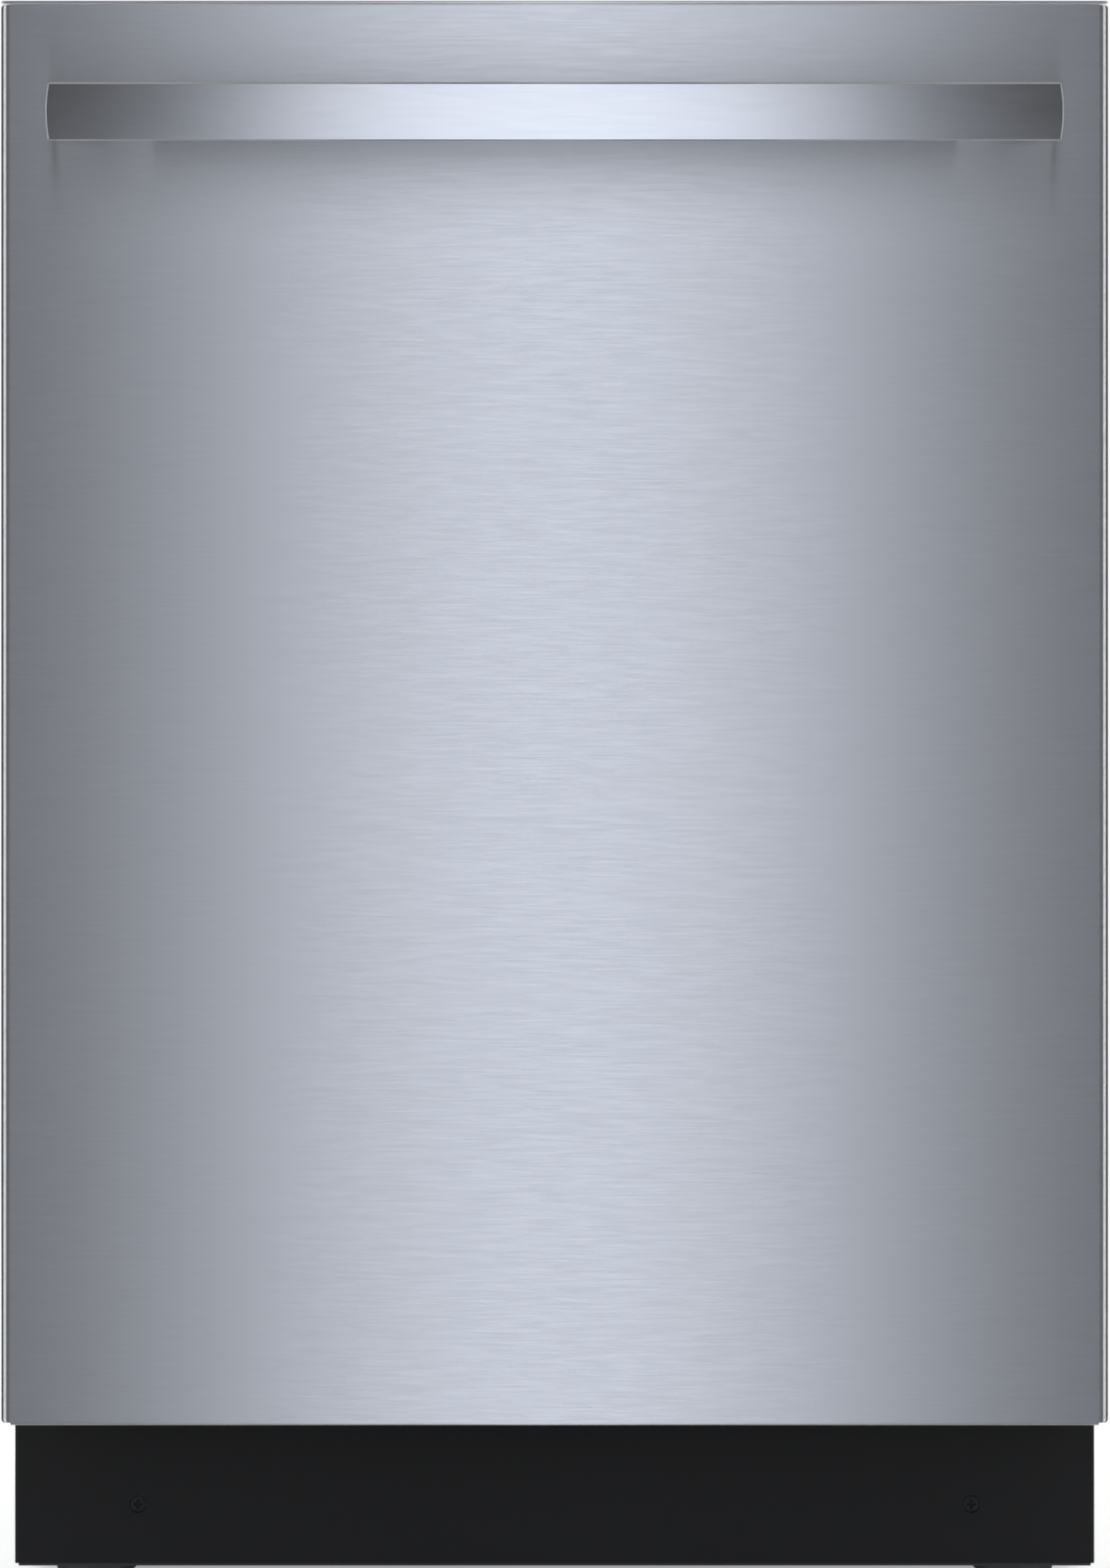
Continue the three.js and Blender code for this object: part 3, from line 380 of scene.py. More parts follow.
class Piece:
    """Closed shells gathered into one mesh."""

    def __init__(self):
        self.bm = bmesh.new()

    def absorb(self, part, bevel=0, segments=2, limit=40):
        """Takes in a shell, with the edges sharper than limit degrees bevelled."""
        if bevel:
            limit = math.radians(limit)
            edges = [e for e in part.edges if len(e.link_faces) == 2 and e.calc_face_angle() > limit]
            bmesh.ops.bevel(part, geom=edges, offset=bevel, segments=segments, profile=0.6,
                            affect="EDGES", clamp_overlap=True)
        bmesh.ops.recalc_face_normals(part, faces=part.faces)
        mesh = bpy.data.meshes.new("part")
        part.to_mesh(mesh)
        part.free()
        self.bm.from_mesh(mesh)
        bpy.data.meshes.remove(mesh)
        return self

    def box(self, x, y, z, bevel=0.6, segments=2):
        """A block from its spans, which may run either way."""
        part = bmesh.new()
        bmesh.ops.create_cube(part, size=1)
        for vertex in part.verts:
            vertex.co = [min(s) + (vertex.co[i] + 0.5) * abs(s[1] - s[0]) for i, s in enumerate((x, y, z))]
        return self.absorb(part, bevel, segments)

    def prism(self, outline, axis, start, end, bevel=0, segments=2, limit=40):
        """An outline in the plane across axis, stretched from start to end along it."""
        place = PLANES[axis]
        return self.loft([[place(u, v, w) for u, v in outline] for w in (start, end)], bevel, segments, limit)

    def loft(self, rings, bevel=0, segments=2, limit=40, closed=False):
        """Rings of equal length joined in turn, then capped at both ends or joined round."""
        part = bmesh.new()
        rings = [[part.verts.new(p) for p in ring] for ring in rings]
        pairs = list(zip(rings, rings[1:]))
        if closed:
            pairs.append((rings[-1], rings[0]))
        else:
            part.faces.new(rings[0])
            part.faces.new(rings[-1])
        for ring, following in pairs:
            for i in range(len(ring)):
                part.faces.new((ring[i - 1], ring[i], following[i], following[i - 1]))
        return self.absorb(part, bevel, segments, limit)

    def turned(self, profile, centre=(0, 0, 0), axis="Z", segments=40):
        """(radius, height) pairs turned about an axis through centre; they close on themselves
        or start and end on the axis, where a tiny radius stands for none."""
        place, centre = PLANES[axis], Vector(centre)
        rings = [[centre + place(u, v, h) for u, v in circle(max(r, 0.02), segments)] for r, h in profile]
        return self.loft(rings, closed=profile[0][0] > 0.02 and profile[-1][0] > 0.02)

    def sweep(self, points, section, normal=None, closed=False):
        """A section carried along points; its second direction stays on normal when that is given."""
        points = [Vector(p) for p in points]
        count = len(points)
        rings, across = [], None
        for i, point in enumerate(points):
            before = points[i - 1] if i or closed else point
            after = points[(i + 1) % count] if i < count - 1 or closed else point
            along = (after - before).normalized()
            if normal:
                up = Vector(normal)
                side = along.cross(up).normalized()
            else:
                across = across or along.orthogonal().normalized()
                across = (across - along * across.dot(along)).normalized()
                side, up = across, along.cross(across)
            rings.append([point + side * u + up * v for u, v in section])
        return self.loft(rings, closed=closed)

    def wire(self, points, radius, sides=8, closed=False):
        return self.sweep(points, circle(radius, sides), closed=closed)

    def move(self, matrix):
        """Moves everything gathered so far."""
        bmesh.ops.transform(self.bm, matrix=matrix, verts=self.bm.verts)
        return self

    def turn(self, degrees, axis="Z"):
        return self.move(Matrix.Rotation(math.radians(degrees), 4, axis))

    def mesh(self, name, smooth):
        mesh = bpy.data.meshes.new(name)
        bmesh.ops.scale(self.bm, vec=(MM, MM, MM), verts=self.bm.verts)
        self.bm.to_mesh(mesh)
        self.bm.free()
        mesh.polygons.foreach_set("use_smooth", [True] * len(mesh.polygons))
        mesh.set_sharp_from_angle(angle=math.radians(smooth))
        return mesh

    def done(self, name, *nodes, slot=None, body=None, cutters=(), smooth=35):
        """The finished object. It takes its slot and body from the first node that it stands for."""
        slot, body = slot or SLOT_OF[nodes[0]], body or BODY_OF[nodes[0]]
        piece = new_object(name, self.mesh(name, smooth))
        for cutter in cutters:
            cut(piece, cutter, smooth)
        piece.data.materials.clear()
        piece.data.materials.append(MATERIALS[slot])
        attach(piece, body)
        if nodes:
            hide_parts(*nodes)
        return piece


def cut(piece, cutter_piece, smooth):
    """Takes the cutter's shells out of a piece."""
    cutter = new_object("cutter", cutter_piece.mesh("cutter", 30))
    modifier = piece.modifiers.new("cut", "BOOLEAN")
    modifier.operation = "DIFFERENCE"
    modifier.solver = "EXACT"
    modifier.use_self = True
    modifier.object = cutter
    bpy.context.view_layer.update()
    result = bpy.data.meshes.new_from_object(piece.evaluated_get(bpy.context.evaluated_depsgraph_get()))
    piece.modifiers.clear()
    piece.data = result
    bpy.data.objects.remove(cutter)
    result.set_sharp_from_angle(angle=math.radians(smooth))


def screw_head(piece, place, axis, out, radius=3.6, height=1.6):
    """A domed screw head with a round socket. It faces along axis, the way that out's sign gives."""
    tall = out * height
    piece.turned([(0, 0), (radius, 0), (radius, tall * 0.45), (radius * 0.8, tall * 0.85),
                  (radius * 0.45, tall), (radius * 0.4, tall * 0.55), (0, tall * 0.5)], place, axis, 24)


# ------------------------------------------------------------------ the door's outside


def outer_panel():
    """One folded sheet: a flat front, side folds with a soft bend, a rolled top edge and a bottom fold."""
    (_, x1), (y0, y1), (z0, z1) = spans("door_outer_panel")
    sheet, bend, depth, roll, hem, lap = 1.0, 3.3, 4.2, 0.9, 17, 2
    foot_gap, top_gap = 1.3, 2.2  # left open below and above the side folds
    flat = x1 - bend
    groove = z1 - 2 * roll
    heart = Vector((flat, y0 + bend))
    panel = Piece()

    def corner(inset):
        wide, deep = bend - inset, depth - inset
        quarter = [math.radians(angle) for angle in spread(-90, 0, 13)]
        return [(flat + wide * math.cos(a), y0 + depth + deep * math.sin(a)) for a in quarter]

    def pulled(u, v, share):
        """A point of the bend drawn in towards its heart, to round off the fold's ends."""
        pull = heart - Vector((u, v))
        near = max(0.0, min(1.0, (u - flat) / bend)) * (v < y0 + 2 * bend)
        pull = pull.normalized() * min(1.3, pull.length) * share * near
        return u + pull.x, v + pull.y

    strip = [(flat - lap, y0)] + corner(0) + [(x1, y1)]
    strip += [(x1 - sheet, y1)] + corner(sheet)[::-1] + [(flat - lap, y0 + sheet)]
    ends = ((0, 1.0), (0.25, 0.45), (0.9, 0.1), (1.6, 0))  # how far from the end, how much drawn in
    levels = [(z0 + foot_gap + z, share) for z, share in ends]
    levels += [(z1 - top_gap - z, share) for z, share in ends[::-1]]
    for _, sign in SIDES:
        rings = [[pulled(u, v, share) for u, v in strip] for _, share in levels]
        panel.loft([[(sign * x, y, z) for x, y in ring] for ring, (z, _) in zip(rings, levels)])
    section = arc((y0 + 0.8, z0 + 0.8), 0.8, 270, 180, 4) + [(y0, z0 + 1.6)]
    section += [(y0, groove - 0.8), (y0, groove - 0.5), (y0 + 0.4, groove - 0.05)]
    section += arc((y0 + roll, z1 - roll), roll, 235, 90, 9)
    section += [(y0 + 8, z1), (y0 + 8, z1 - sheet), (y0 + sheet + roll, z1 - sheet), (y0 + sheet, groove)]
    section += [(y0 + sheet, z0 + sheet), (y0 + hem, z0 + sheet), (y0 + hem, z0)]
    panel.prism(section, "X", lap - flat, flat - lap)
    curl = ((flat - lap, roll), (x1 - 1.6, roll), (x1 - 0.8, 0.8 * roll), (x1 - 0.4, 0.4 * roll))
    for _, sign in SIDES:
        panel.loft([[(sign * x, y0 + roll + u, z1 - roll + v) for u, v in circle(radius, 14)]
                    for x, radius in curl])
    panel.done("front_panel", "door_outer_panel")


def handle():
    """A bar with a crowned face, a narrower back and softly bulged ends on two tapered posts."""
    (x0, x1), (y0, y1), (z0, z1) = spans("handle_bar")
    bulge, crown, edge, lower, slope = 1.5, 0.5, 1.2, 0.6, 2.3
    centre, tall = (z0 + z1) / 2, (z1 - z0) / 2

    def section(x, way, shrink):
        top, front, back = tall - shrink, y0 + shrink, y1 - shrink
        rear = top - slope - edge
        ring = [(front + crown * (h / top) ** 2, h) for h in spread(lower - top, top - edge, 13)]
        ring += arc((front + crown + edge, top - edge), edge, 180, 80, 1)[1:]
        ring += arc((back - edge, rear), edge, 80, 0, 5) + arc((back - edge, -rear), edge, 0, -80, 5)
        ring += arc((front + crown + lower, lower - top), lower, -80, -180, 1)[:-1]
        return [(x + way * bulge * (1 - (h / tall) ** 2), y, centre + h) for y, h in ring]

    # How far in from the end, how much smaller, and how much of the bulge.
    ends = ((0, 0.7, 1), (0.08, 0.35, 1), (0.3, 0.1, 1), (0.7, 0, 1), (1.0, 0, 1), (3, 0, 0.9),
            (12, 0, 0.4), (26, 0, 0))
    rings = [section(x0 + bulge + inset, -bow, shrink) for inset, shrink, bow in ends]
    rings += [section(x, 0, 0) for x in spread(x0 + 40, x1 - 40, 22)]
    rings += [section(x1 - bulge - inset, bow, shrink) for inset, shrink, bow in ends[::-1]]
    Piece().loft(rings).done("handle_grip", "handle_bar")
    for side, _ in SIDES:
        node = f"handle_standoff_{side}"
        x, (y0, y1), (z0, z1) = spans(node)
        levels = ((y0, 0), (y1 - 1.5, 3.2), (y1, 3.2))
        rings = [upright_ring(x, y, (z0 + taper, z1 - taper), 0, 1.5) for y, taper in levels]
        Piece().loft(rings).done(f"handle_post_{side}", node)


def toe_kick():
    """A folded black sheet with two dimpled screws and a rubber strip along its foot."""
    (x0, x1), (y0, y1), (z0, z1) = spans("toe_kick")
    sheet, hole, long, narrow = 1.2, 5, 2.5, 0.8
    holes, dimples = Piece(), Piece()
    for side, _ in SIDES:
        node = f"toe_kick_screw_{side}"
        back = spans(node)[1][1]
        x, _, z = middle(node)
        holes.turned(disc(hole, y0 - 2, y0 + 3), (x, 0, z), "Y", 32)
        dimples.turned([(hole + 0.02, y0 + 0.02), (4.8, y0 + 0.12), (4.55, y0 + 0.5), (4.55, y0 + 1.4),
                        (hole + 0.02, y0 + 1.1)], (x, 0, z), "Y", 32)
        head = Piece().turned([(0, back), (2.2, back - 0.5), (2.2, y0 + 2.4), (4.3, y0 + 2.4), (4.5, y0 + 0.65),
                               (4.2, y0 + 0.45), (2.6, y0 + 0.3), (0, y0 + 0.25)], (x, 0, z), "Y", 32)
        cross = Piece()
        for wide, tall in ((long, narrow), (narrow, long)):
            cross.box(around(x, wide), (y0 - 1, y0 + 2.2), around(z, tall), 0.15)
        head.done(f"kick_screw_{side}", node, cutters=[cross])
    left, right, face = x0 + sheet / 2, x1 - sheet / 2, y0 + sheet / 2
    outline = bent_strip([(left, y1), (left, face), (right, face), (right, y1)], sheet, 2.0)
    Piece().prism(outline, "Z", z0, z1, 0.25, 2, 60).done("kick_plate", "toe_kick", cutters=[holes])
    dimples.done("kick_dimples", slot="kick_paint", body="cabinet")
    (x0, x1), (y0, y1), (z0, z1) = spans("toe_kick_strip")
    lip = bent_strip([(y0 + 0.75, z1), (y0 + 0.75, z0 + 1.5), (y1 - 0.5, z0 + 0.5)], 1.0, 2.0)
    Piece().prism(lip, "X", x0, x1, 0.15).done("kick_seal", "toe_kick_strip")


# ------------------------------------------------------------------ base and feet


def foot(place, side):
    """A threaded rod with a nut, standing in a wide ribbed pad."""
    node = f"{place}_foot_{side}"
    x, y, _ = middle(node)
    top = spans(node)[2][1]
    thread = [(0, top), (4.6, top)]
    for z in spread(top - 1, 17, 16):
        thread += [(6.0, z), (5.1, z - 1.3)]
    piece = Piece().turned(thread + [(5.1, 9), (0, 9)], (x, y, 0), segments=28)
    piece.turned([(0, 0), (20.5, 0), (22, 1.2), (22, 6), (20.5, 7.4), (12, 9.5), (10.8, 12), (0, 12)], (x, y, 0))
    piece.prism([(x + u, y + v) for u, v in circle(10.8, 6)], "Z", 11.5, 16.5, 0.5)
    for u, v in circle(1, 12):
        piece.wire([(x + 12 * u, y + 12 * v, 9.6), (x + 20 * u, y + 20 * v, 7.4)], 0.8, 6)
    piece.done(f"foot_{place}_{side}", node)


def base():
    """A ribbed tray on four feet, with the drain's outlet in its back."""
    (x0, x1), (y0, y1), (z0, z1) = spans("base_pan")
    rib, outlet_gap = 1.2, 26

    def ring(inset, z, radius=8, front=0, back=0):
        return level_ring((x0, x1), (y0 + front, y1 - back), z, inset, radius)

    pan = Piece()
    pan.loft([ring(4.5, z0 + 4, 5), ring(4, z0 + 5, 5), ring(4, z1 - 4), ring(32, z1 - 4, 8, -15, -20),
              ring(32, z1, 8, -15, -20), ring(1.5, z1), ring(1, z1 - 0.6), ring(1, z0 + 3),
              ring(2, z0 + 0.8), ring(4, z0)])
    drain_x, _, drain_z = middle("drain_outlet")
    for y in spread(y0 + 40, y1 - 30, 9):
        for sign in (-1, 1):
            pan.box((sign * (x1 - 2), sign * x1), around(y, rib), (z0 + 4, z1 - 2), 0.4)
    for x in spread(x0 + 40, x1 - 40, 11):
        if abs(x - drain_x) > outlet_gap:
            pan.box(around(x, rib), (y1 - 2, y1), (z0 + 4, z1 - 2), 0.4)
    pan.box((x0 + 12, x1 - 12), (y1 - 2, y1), (z1 - 12, z1 - 8), 0.4)
    cutter = Piece()
    for place, side in CORNERS:
        x, y, _ = middle(f"{place}_foot_{side}")
        pan.turned([(6.8, z0 + 1), (12, z0 + 1), (12, 60), (11, 61.5), (6.8, 61.5)], (x, y, 0))
        cutter.turned(disc(7.2, z0 - 3, z0 + 6), (x, y, 0))
        foot(place, side)
    drain = (drain_x, 0, drain_z)
    cutter.turned(disc(14.6, y1 - 9, y1 + 4), drain, "Y")
    pan.done("base_tray", "base_pan", cutters=[cutter])
    start, end = spans("drain_outlet")[1]
    port = Piece().turned([(9, end), (12.6, end), (13, end - 1.2), (12, end - 2.4), (14, end - 3), (14, end - 4.4),
                           (20, end - 4.6), (20, start), (9, start)], drain, "Y")
    port.done("drain_port", "drain_outlet")


# ------------------------------------------------------------------ tub and its covering


def tub_ring(y, half, top, ledge, floor, corner, ribs=0, scale=1.0):
    """One slice of the tub across the machine: walls with pressed ribs, a rounded roof, and the
    ledges that the rack rolls on each side of the basin."""
    basin = [(half - 7, ledge), (236, ledge), (231, ledge - (ledge - floor) * 0.25),
             (227, floor + (ledge - floor) * 0.15), (221, floor), (110, floor)]
    outline = basin[::-1] + [(half - 2, ledge + 2), (half, ledge + 7), (half, 190)]
    for centre in (215, 300, 395, 480, 640, 700, 760):
        for offset, share in ((-9, 0), (-5, 0.75), (0, 1), (5, 0.75), (9, 0)):
            outline.append((half + ribs * share, centre + offset))
    outline += arc((half - corner, top - corner), corner, 0, 90, 8)
    outline += [(-x, z) for x, z in reversed(outline)]
    heart = 470
    return [(x * scale, y, heart + (z - heart) * scale) for x, z in outline]


def tub():
    """A pressed steel box, open in front, with a lip round its mouth and a hole for the sump."""
    _, (y0, y1), _ = spans("tub")
    wall, ledge, back, rib = 1.2, 129, 18, 2.4
    half, roof, rear, under = TUB_HALF - wall, TUB_TOP - wall, y1 - wall, ledge - wall

    def inside(y, scale=1.0, ribs=0, depth=1.0):
        return tub_ring(y, half, roof, ledge, ledge - (ledge - TUB_FLOOR) * depth, 34, ribs, scale)

    def lip(y, out, low):
        return tub_ring(y, half + out, roof + out * 1.87, low, low, 34 - out)

    def outside(y, floor=TUB_FLOOR - wall, scale=1.0):
        return tub_ring(y, TUB_HALF, TUB_TOP, under, floor, 35, 0, scale)

    rings = [inside(y, scale) for scale, y in ((0.02, y1 - 4), (0.55, y1 - 4), (0.6, y1 - 3), (0.63, rear),
                                               (0.9, rear))]
    for degrees in range(0, 91, 15):
        a = math.radians(degrees)
        rings.append(inside(rear - back * (1 - math.cos(a)), 1 - back * (1 - math.sin(a)) / 350))
    for y, ribs in ((y1 - 30, 0), (y1 - 60, rib), (100, rib), (-100, rib), (-150, rib), (-175, 0)):
        rings.append(inside(y, ribs=ribs))
    for y, depth in ((-184, 1.0), (-188, 0.85), (-193, 0.3), (-198, 0)):
        rings.append(inside(y, depth=depth))
    for y, out in ((y0 + 3, 0.0), (y0 + 1, 0.3), (y0, 1.2), (y0, 12.8), (y0 + 0.5, 13.2)):
        rings.append(lip(y, out, ledge - 0.05 * out))
    rings += [lip(y0 + 1.7, out, under) for out in (13.2, 2.4)]
    rings += [outside(-196, under), outside(-184), outside(y1 - 30), outside(y1 - 14, scale=0.997),
              outside(y1, scale=0.95), outside(y1, scale=0.02)]
    hole = Piece().turned(disc(99.5, 100, 118), segments=64)
    Piece().loft(rings).done("tub_shell", "tub", cutters=[hole], smooth=40)


def gasket():
    """A rubber bulb on a flat foot, up one side of the tub's mouth, across and down the other."""
    (x0, x1), (_, y1), (z0, z1) = spans("tub_gasket")
    half = (x1 - TUB_HALF) / 2
    left, right, top = x0 + half, x1 - half, z1 - half
    path = rounded_path([(left, y1, z0), (left, y1, top), (right, y1, top), (right, y1, z0)], 16, 8)
    bulb = [(-half, 0), (-half, -1.2), (-2.6, -1.4)] + arc((0, -2.4), 2.5, 160, 380, 8)
    bulb += [(2.6, -1.4), (half, -1.2), (half, 0)]
    Piece().sweep(path, bulb, (0, 1, 0)).done("door_gasket", "tub_gasket")


def crumple(x, y, z, cell=60.0):
    """A smooth value about zero that changes over cell millimetres."""
    return noise.noise(Vector((x / cell, y / cell, z / cell)))


def blanket():
    """Felt over the sides, top and back of the tub, held by three straps that sink into it."""
    (x0, x1), (y0, y1), (z0, z1) = spans("insulation_blanket")
    inner, inner_top, thick, bend, sunk, quilt = 281.6, 824.6, 9.6, 30, 1.8, 140
    straps = (y0 + 12, 30, y1 - 60)
    path = rounded_path([(x1, 0, z0), (x1, 0, z1), (x0, 0, z1), (x0, 0, z0)], bend, 8)
    fine = [path[0].lerp(path[1], t) for t in spread(0, 1, 22)][:-1] + path[1:10]
    fine += [path[9].lerp(path[10], t) for t in spread(0, 1, 20)][1:-1] + path[10:-2]
    fine += [path[-2].lerp(path[-1], t) for t in spread(0, 1, 22)]
    rings = []
    for y in spread(y0, y1 - thick - 0.4, 70):
        near = min(abs(y - strap) for strap in straps)
        pinch = 1.9 * math.exp(-(near / 16) ** 2) + (1.2 if y < y0 + 1 else 0)
        outside, inside = [], []
        for point in fine:
            out_x = 1 if point.x > 270 else -1 if point.x < -270 else 0
            out_z = 1 if point.z > z1 - 12 else 0
            sag = pinch + 0.5 + 0.4 * crumple(point.x, y, point.z, 160)
            outside.append((point.x - out_x * sag, y, point.z - out_z * sag))
            inside.append((point.x * inner / x1, y, z0 + (point.z - z0) * (inner_top - z0) / (z1 - z0)))
        rings.append(outside + inside[::-1])
    cover = Piece().loft(rings)
    left, right, low, high = x0 + 3, x1 - 3, z0 + 1, z1 - 4
    rows = []
    for z in spread(low, high, 44):
        past = (z - z0) % quilt
        seam = min(past, quilt - past)
        row = []
        for x in spread(left, right, 40):
            edge = 3.0 * max(0, 1 - min(x - left, right - x, high - z, z - low) / 9)
            sag = edge + 1.5 * math.exp(-(seam / 6) ** 2) + 0.9 * (0.5 + crumple(x, 400, z))
            row.append((x, y1 - sag, z))
        rows.append(row + [(x, y1 - thick + 0.3, z) for x in spread(right, left, 40)])
    piece = cover.loft(rows).done("tub_blanket", "insulation_blanket", smooth=70)
    tape = Piece()
    left, right, low, high = x0 + sunk, x1 - sunk, z0 + 6, z1 - sunk
    section = [(-0.35, -12), (0.05, -12), (0.05, 12), (-0.35, 12)]
    for y in straps:
        corners = [(right, y, low), (right, y, high), (left, y, high), (left, y, low)]
        tape.sweep(rounded_path(corners, bend, 8), section, (0, 1, 0))
    tape.done("blanket_tape", slot="zinc_steel", body="cabinet")


def fixings():
    """Brackets under the worktop and the door's strike."""
    for side, sign in SIDES:
        node = f"countertop_bracket_{side}"
        (x0, x1), (y0, y1), (z0, z1) = spans(node)
        outline = bent_strip([(y0 + 0.75, z0), (y0 + 0.75, z1 - 0.75), (y1, z1 - 0.75)], 1.5, 3.5)
        hole = Piece().turned(disc(3, z1 - 6, z1 + 3), (sign * 213, -196, 0), segments=24)
        Piece().prism(outline, "X", x0, x1, 0.4, 2, 60).done(f"top_bracket_{side}", node, cutters=[hole])
    (x0, x1), (y0, y1), (z0, z1) = spans("latch_strike")
    strike = Piece().prism(rounded_rectangle((x0, z0), (x1, z1), 3), "Y", y1 - 1.8, y1, 0.3)
    hook = bent_strip([(y1 - 1.4, z0 + 7), (y0 + 1, z0 + 7), (y0 + 1, z0 + 9.4)], 1.8, 2)
    strike.prism(hook, "X", -12, 12, 0.4, 2, 60)
    for x in (x0 + 8, x1 - 8):
        screw_head(strike, (x, y1 - 1.8, (z0 + z1) / 2), "Y", -1, 3.2, 1.0)
    strike.done("strike_plate", "latch_strike")


# ------------------------------------------------------------------ water system


def pumps():
    """Two pumps on their sides, each with a port into the sump's bowl between them."""
    top = spans("circulation_pump")[2][1]
    profile = [(0, 240), (12, 240), (14, 237), (30, 236), (34, 233)]
    for x in spread(228, 152, 12):
        profile += [(36, x), (34.5, x - 3)]
    profile += [(36, 146)] + [(37.8, x) for x in (142, 139, 136, 130, 120, 113)] + [(28, 112), (0, 112)]
    pump = Piece().turned(profile, (0, RISER_Y, 67), "X")
    pump.turned([(10, 96.5), (16, 96.5), (16, 100), (17.2, 101), (17.2, 104), (16, 105), (16, 116), (10, 116)],
                (0, 4, PORT_HEIGHT), "X", 28)
    pump.box((180, 214), (26, 54), (top - 14, top - 3), 1.5)
    pump.done("wash_pump", "circulation_pump")
    drain = Piece()
    drain.turned([(0, -190), (9, -190), (10, -186), (23, -185), (26, -181), (26, -150), (24.5, -148), (26, -146),
                  (26, -133), (33, -131), (34, -128), (34, -112), (32, -108), (14, -108), (0, -108)],
                 (0, 10, 70), "X")
    drain.turned([(8, -112), (12, -112), (12, -104), (13, -103), (13, -101), (12, -100), (12, -96.5), (8, -96.5)],
                 (0, 0, PORT_HEIGHT), "X", 24)
    drain.done("waste_pump", "drain_pump")


def sump():
    """A bowl under the tub's floor, with fins below its rim and the lower spray arm's riser."""
    rim, fins = TUB_FLOOR - 1.5, 15
    bowl = Piece().turned([(0, 46), (66, 46), (72, 48), (96, 68), (97, 72), (96, rim - 3.5), (112, rim - 3),
                           (112, rim), (90, rim), (89, 74), (65, 50), (0, 50)], segments=64)
    for _ in range(fins):
        bowl.box((-1.2, 1.2), (95.5, 111), (86, rim - 2.5), 0.4).turn(360 / fins)
    bowl.turned([(9, 49), (16, 49), (16, 120), (14.6, 123), (14.6, 137), (13.6, 139), (9, 139)], (0, RISER_Y, 0))
    bowl.done("sump_bowl", "sump")


def filters():
    """A perforated plate over the sump and the cup that twists into it."""
    plate = Piece().turned([(0, 108.8), (98.5, 108.8), (98.5, 110.2), (97.8, 110.8), (90, 110.8), (88.5, 110.2),
                            (86, 110.2), (84.5, 110.8), (0, 110.8)], segments=72)
    cup_y = middle("filter_cylinder")[1]
    z0, z1 = spans("filter_cylinder")[2]
    holes = Piece().turned(disc(16.6, 100, 120), (0, RISER_Y, 0), segments=36)
    holes.turned(disc(40.6, 100, 120), (0, cup_y, 0), segments=48)
    pitch = 7.4
    for row in range(-11, 12):
        for column in range(-12, 13):
            x, y = (column + 0.5 * (row % 2)) * pitch, row * pitch * 0.866
            if math.hypot(x, y) < 79 and math.hypot(x, y - cup_y) > 47 and math.hypot(x, y - RISER_Y) > 23:
                holes.turned(disc(1.5, 105, 114), (x, y, 0), segments=8)
    plate.done("filter_screen", "filter_plate", cutters=[holes])
    rim = 111.1
    cup = Piece().turned([(0, z0), (39, z0), (40, z0 + 1), (40, rim), (44.6, rim), (46, rim + 1), (46, rim + 2.2),
                          (45, rim + 3), (38.5, rim + 3), (38, rim + 2), (38, z0 + 2.4), (0, z0 + 2.4)],
                         (0, cup_y, 0))
    for u, v in circle(37, 24):
        cup.wire([(u, cup_y + v, z0 + 1), (u, cup_y + v, rim)], 1.3, 6)
    cup.box((-38.5, 38.5), around(cup_y, 2.6), (rim - 1, z1), 1.6, 3)
    cup.box((-12, 12), around(cup_y, 3), (z1 - 9, z1), 1.6, 3)
    cup.done("filter_cup", "filter_cylinder")


def spray_arm(name, node, reach, bottom, hub_bottom, hub_top):
    """A hollow blade that tapers to rounded tips, its nozzles set a little off the middle line."""
    depth = 11
    top = bottom + depth
    arm, rings = Piece(), []
    for s in [-1, -0.992, -0.97, -0.93] + spread(-0.85, 0.85, 19) + [0.93, 0.97, 0.992, 1]:
        tip = min(1.0, max(0.0, (1 - abs(s)) / 0.096))
        half = (23 + 10 * (1 - abs(s)) ** 1.4) * max(0.06, math.sqrt(tip * (2 - tip)))
        thick = depth * max(0.25, math.sqrt(min(1.0, tip * 1.5)))
        ring = []
        for u, v in circle(1, 28):
            lift = thick / 2 * math.copysign(abs(v) ** 0.7, v)
            ring.append((s * reach, half * math.copysign(abs(u) ** 0.8, u), bottom + depth / 2 + lift))
        rings.append(ring)
    arm.loft(rings)
    nozzles = ((-0.88, 3), (-0.7, -6), (-0.52, 5), (-0.36, -8), (-0.2, 9), (0.24, -9), (0.4, 8), (0.56, -5),
               (0.74, 6), (0.9, -3))
    for s, off in nozzles:
        arm.turned([(1.4, top - 1.6), (5, top - 1.6), (4.6, top + 0.1), (3.4, top + 0.7), (1.4, top + 0.2)],
                   (s * reach, off, 0), segments=20)
    arm.box((-reach * 0.8, reach * 0.8), (-1.3, 1.3), (top - 2, top - 0.1), 0.5)
    arm.turned([(10, hub_bottom), (26, hub_bottom), (28, hub_bottom + 1.5), (28, hub_top - 4), (25, hub_top - 1),
                (18, hub_top), (10, hub_top - 0.4)], segments=44)
    for _ in range(8):
        arm.box((26.8, 28.2), (-2, 2), (hub_bottom + 3, hub_top - 5), 0.4).turn(45)
    arm.move(Matrix.Translation((0, RISER_Y, 0)) @ Matrix.Rotation(0.35, 4, "Z"))
    arm.done(name, node)


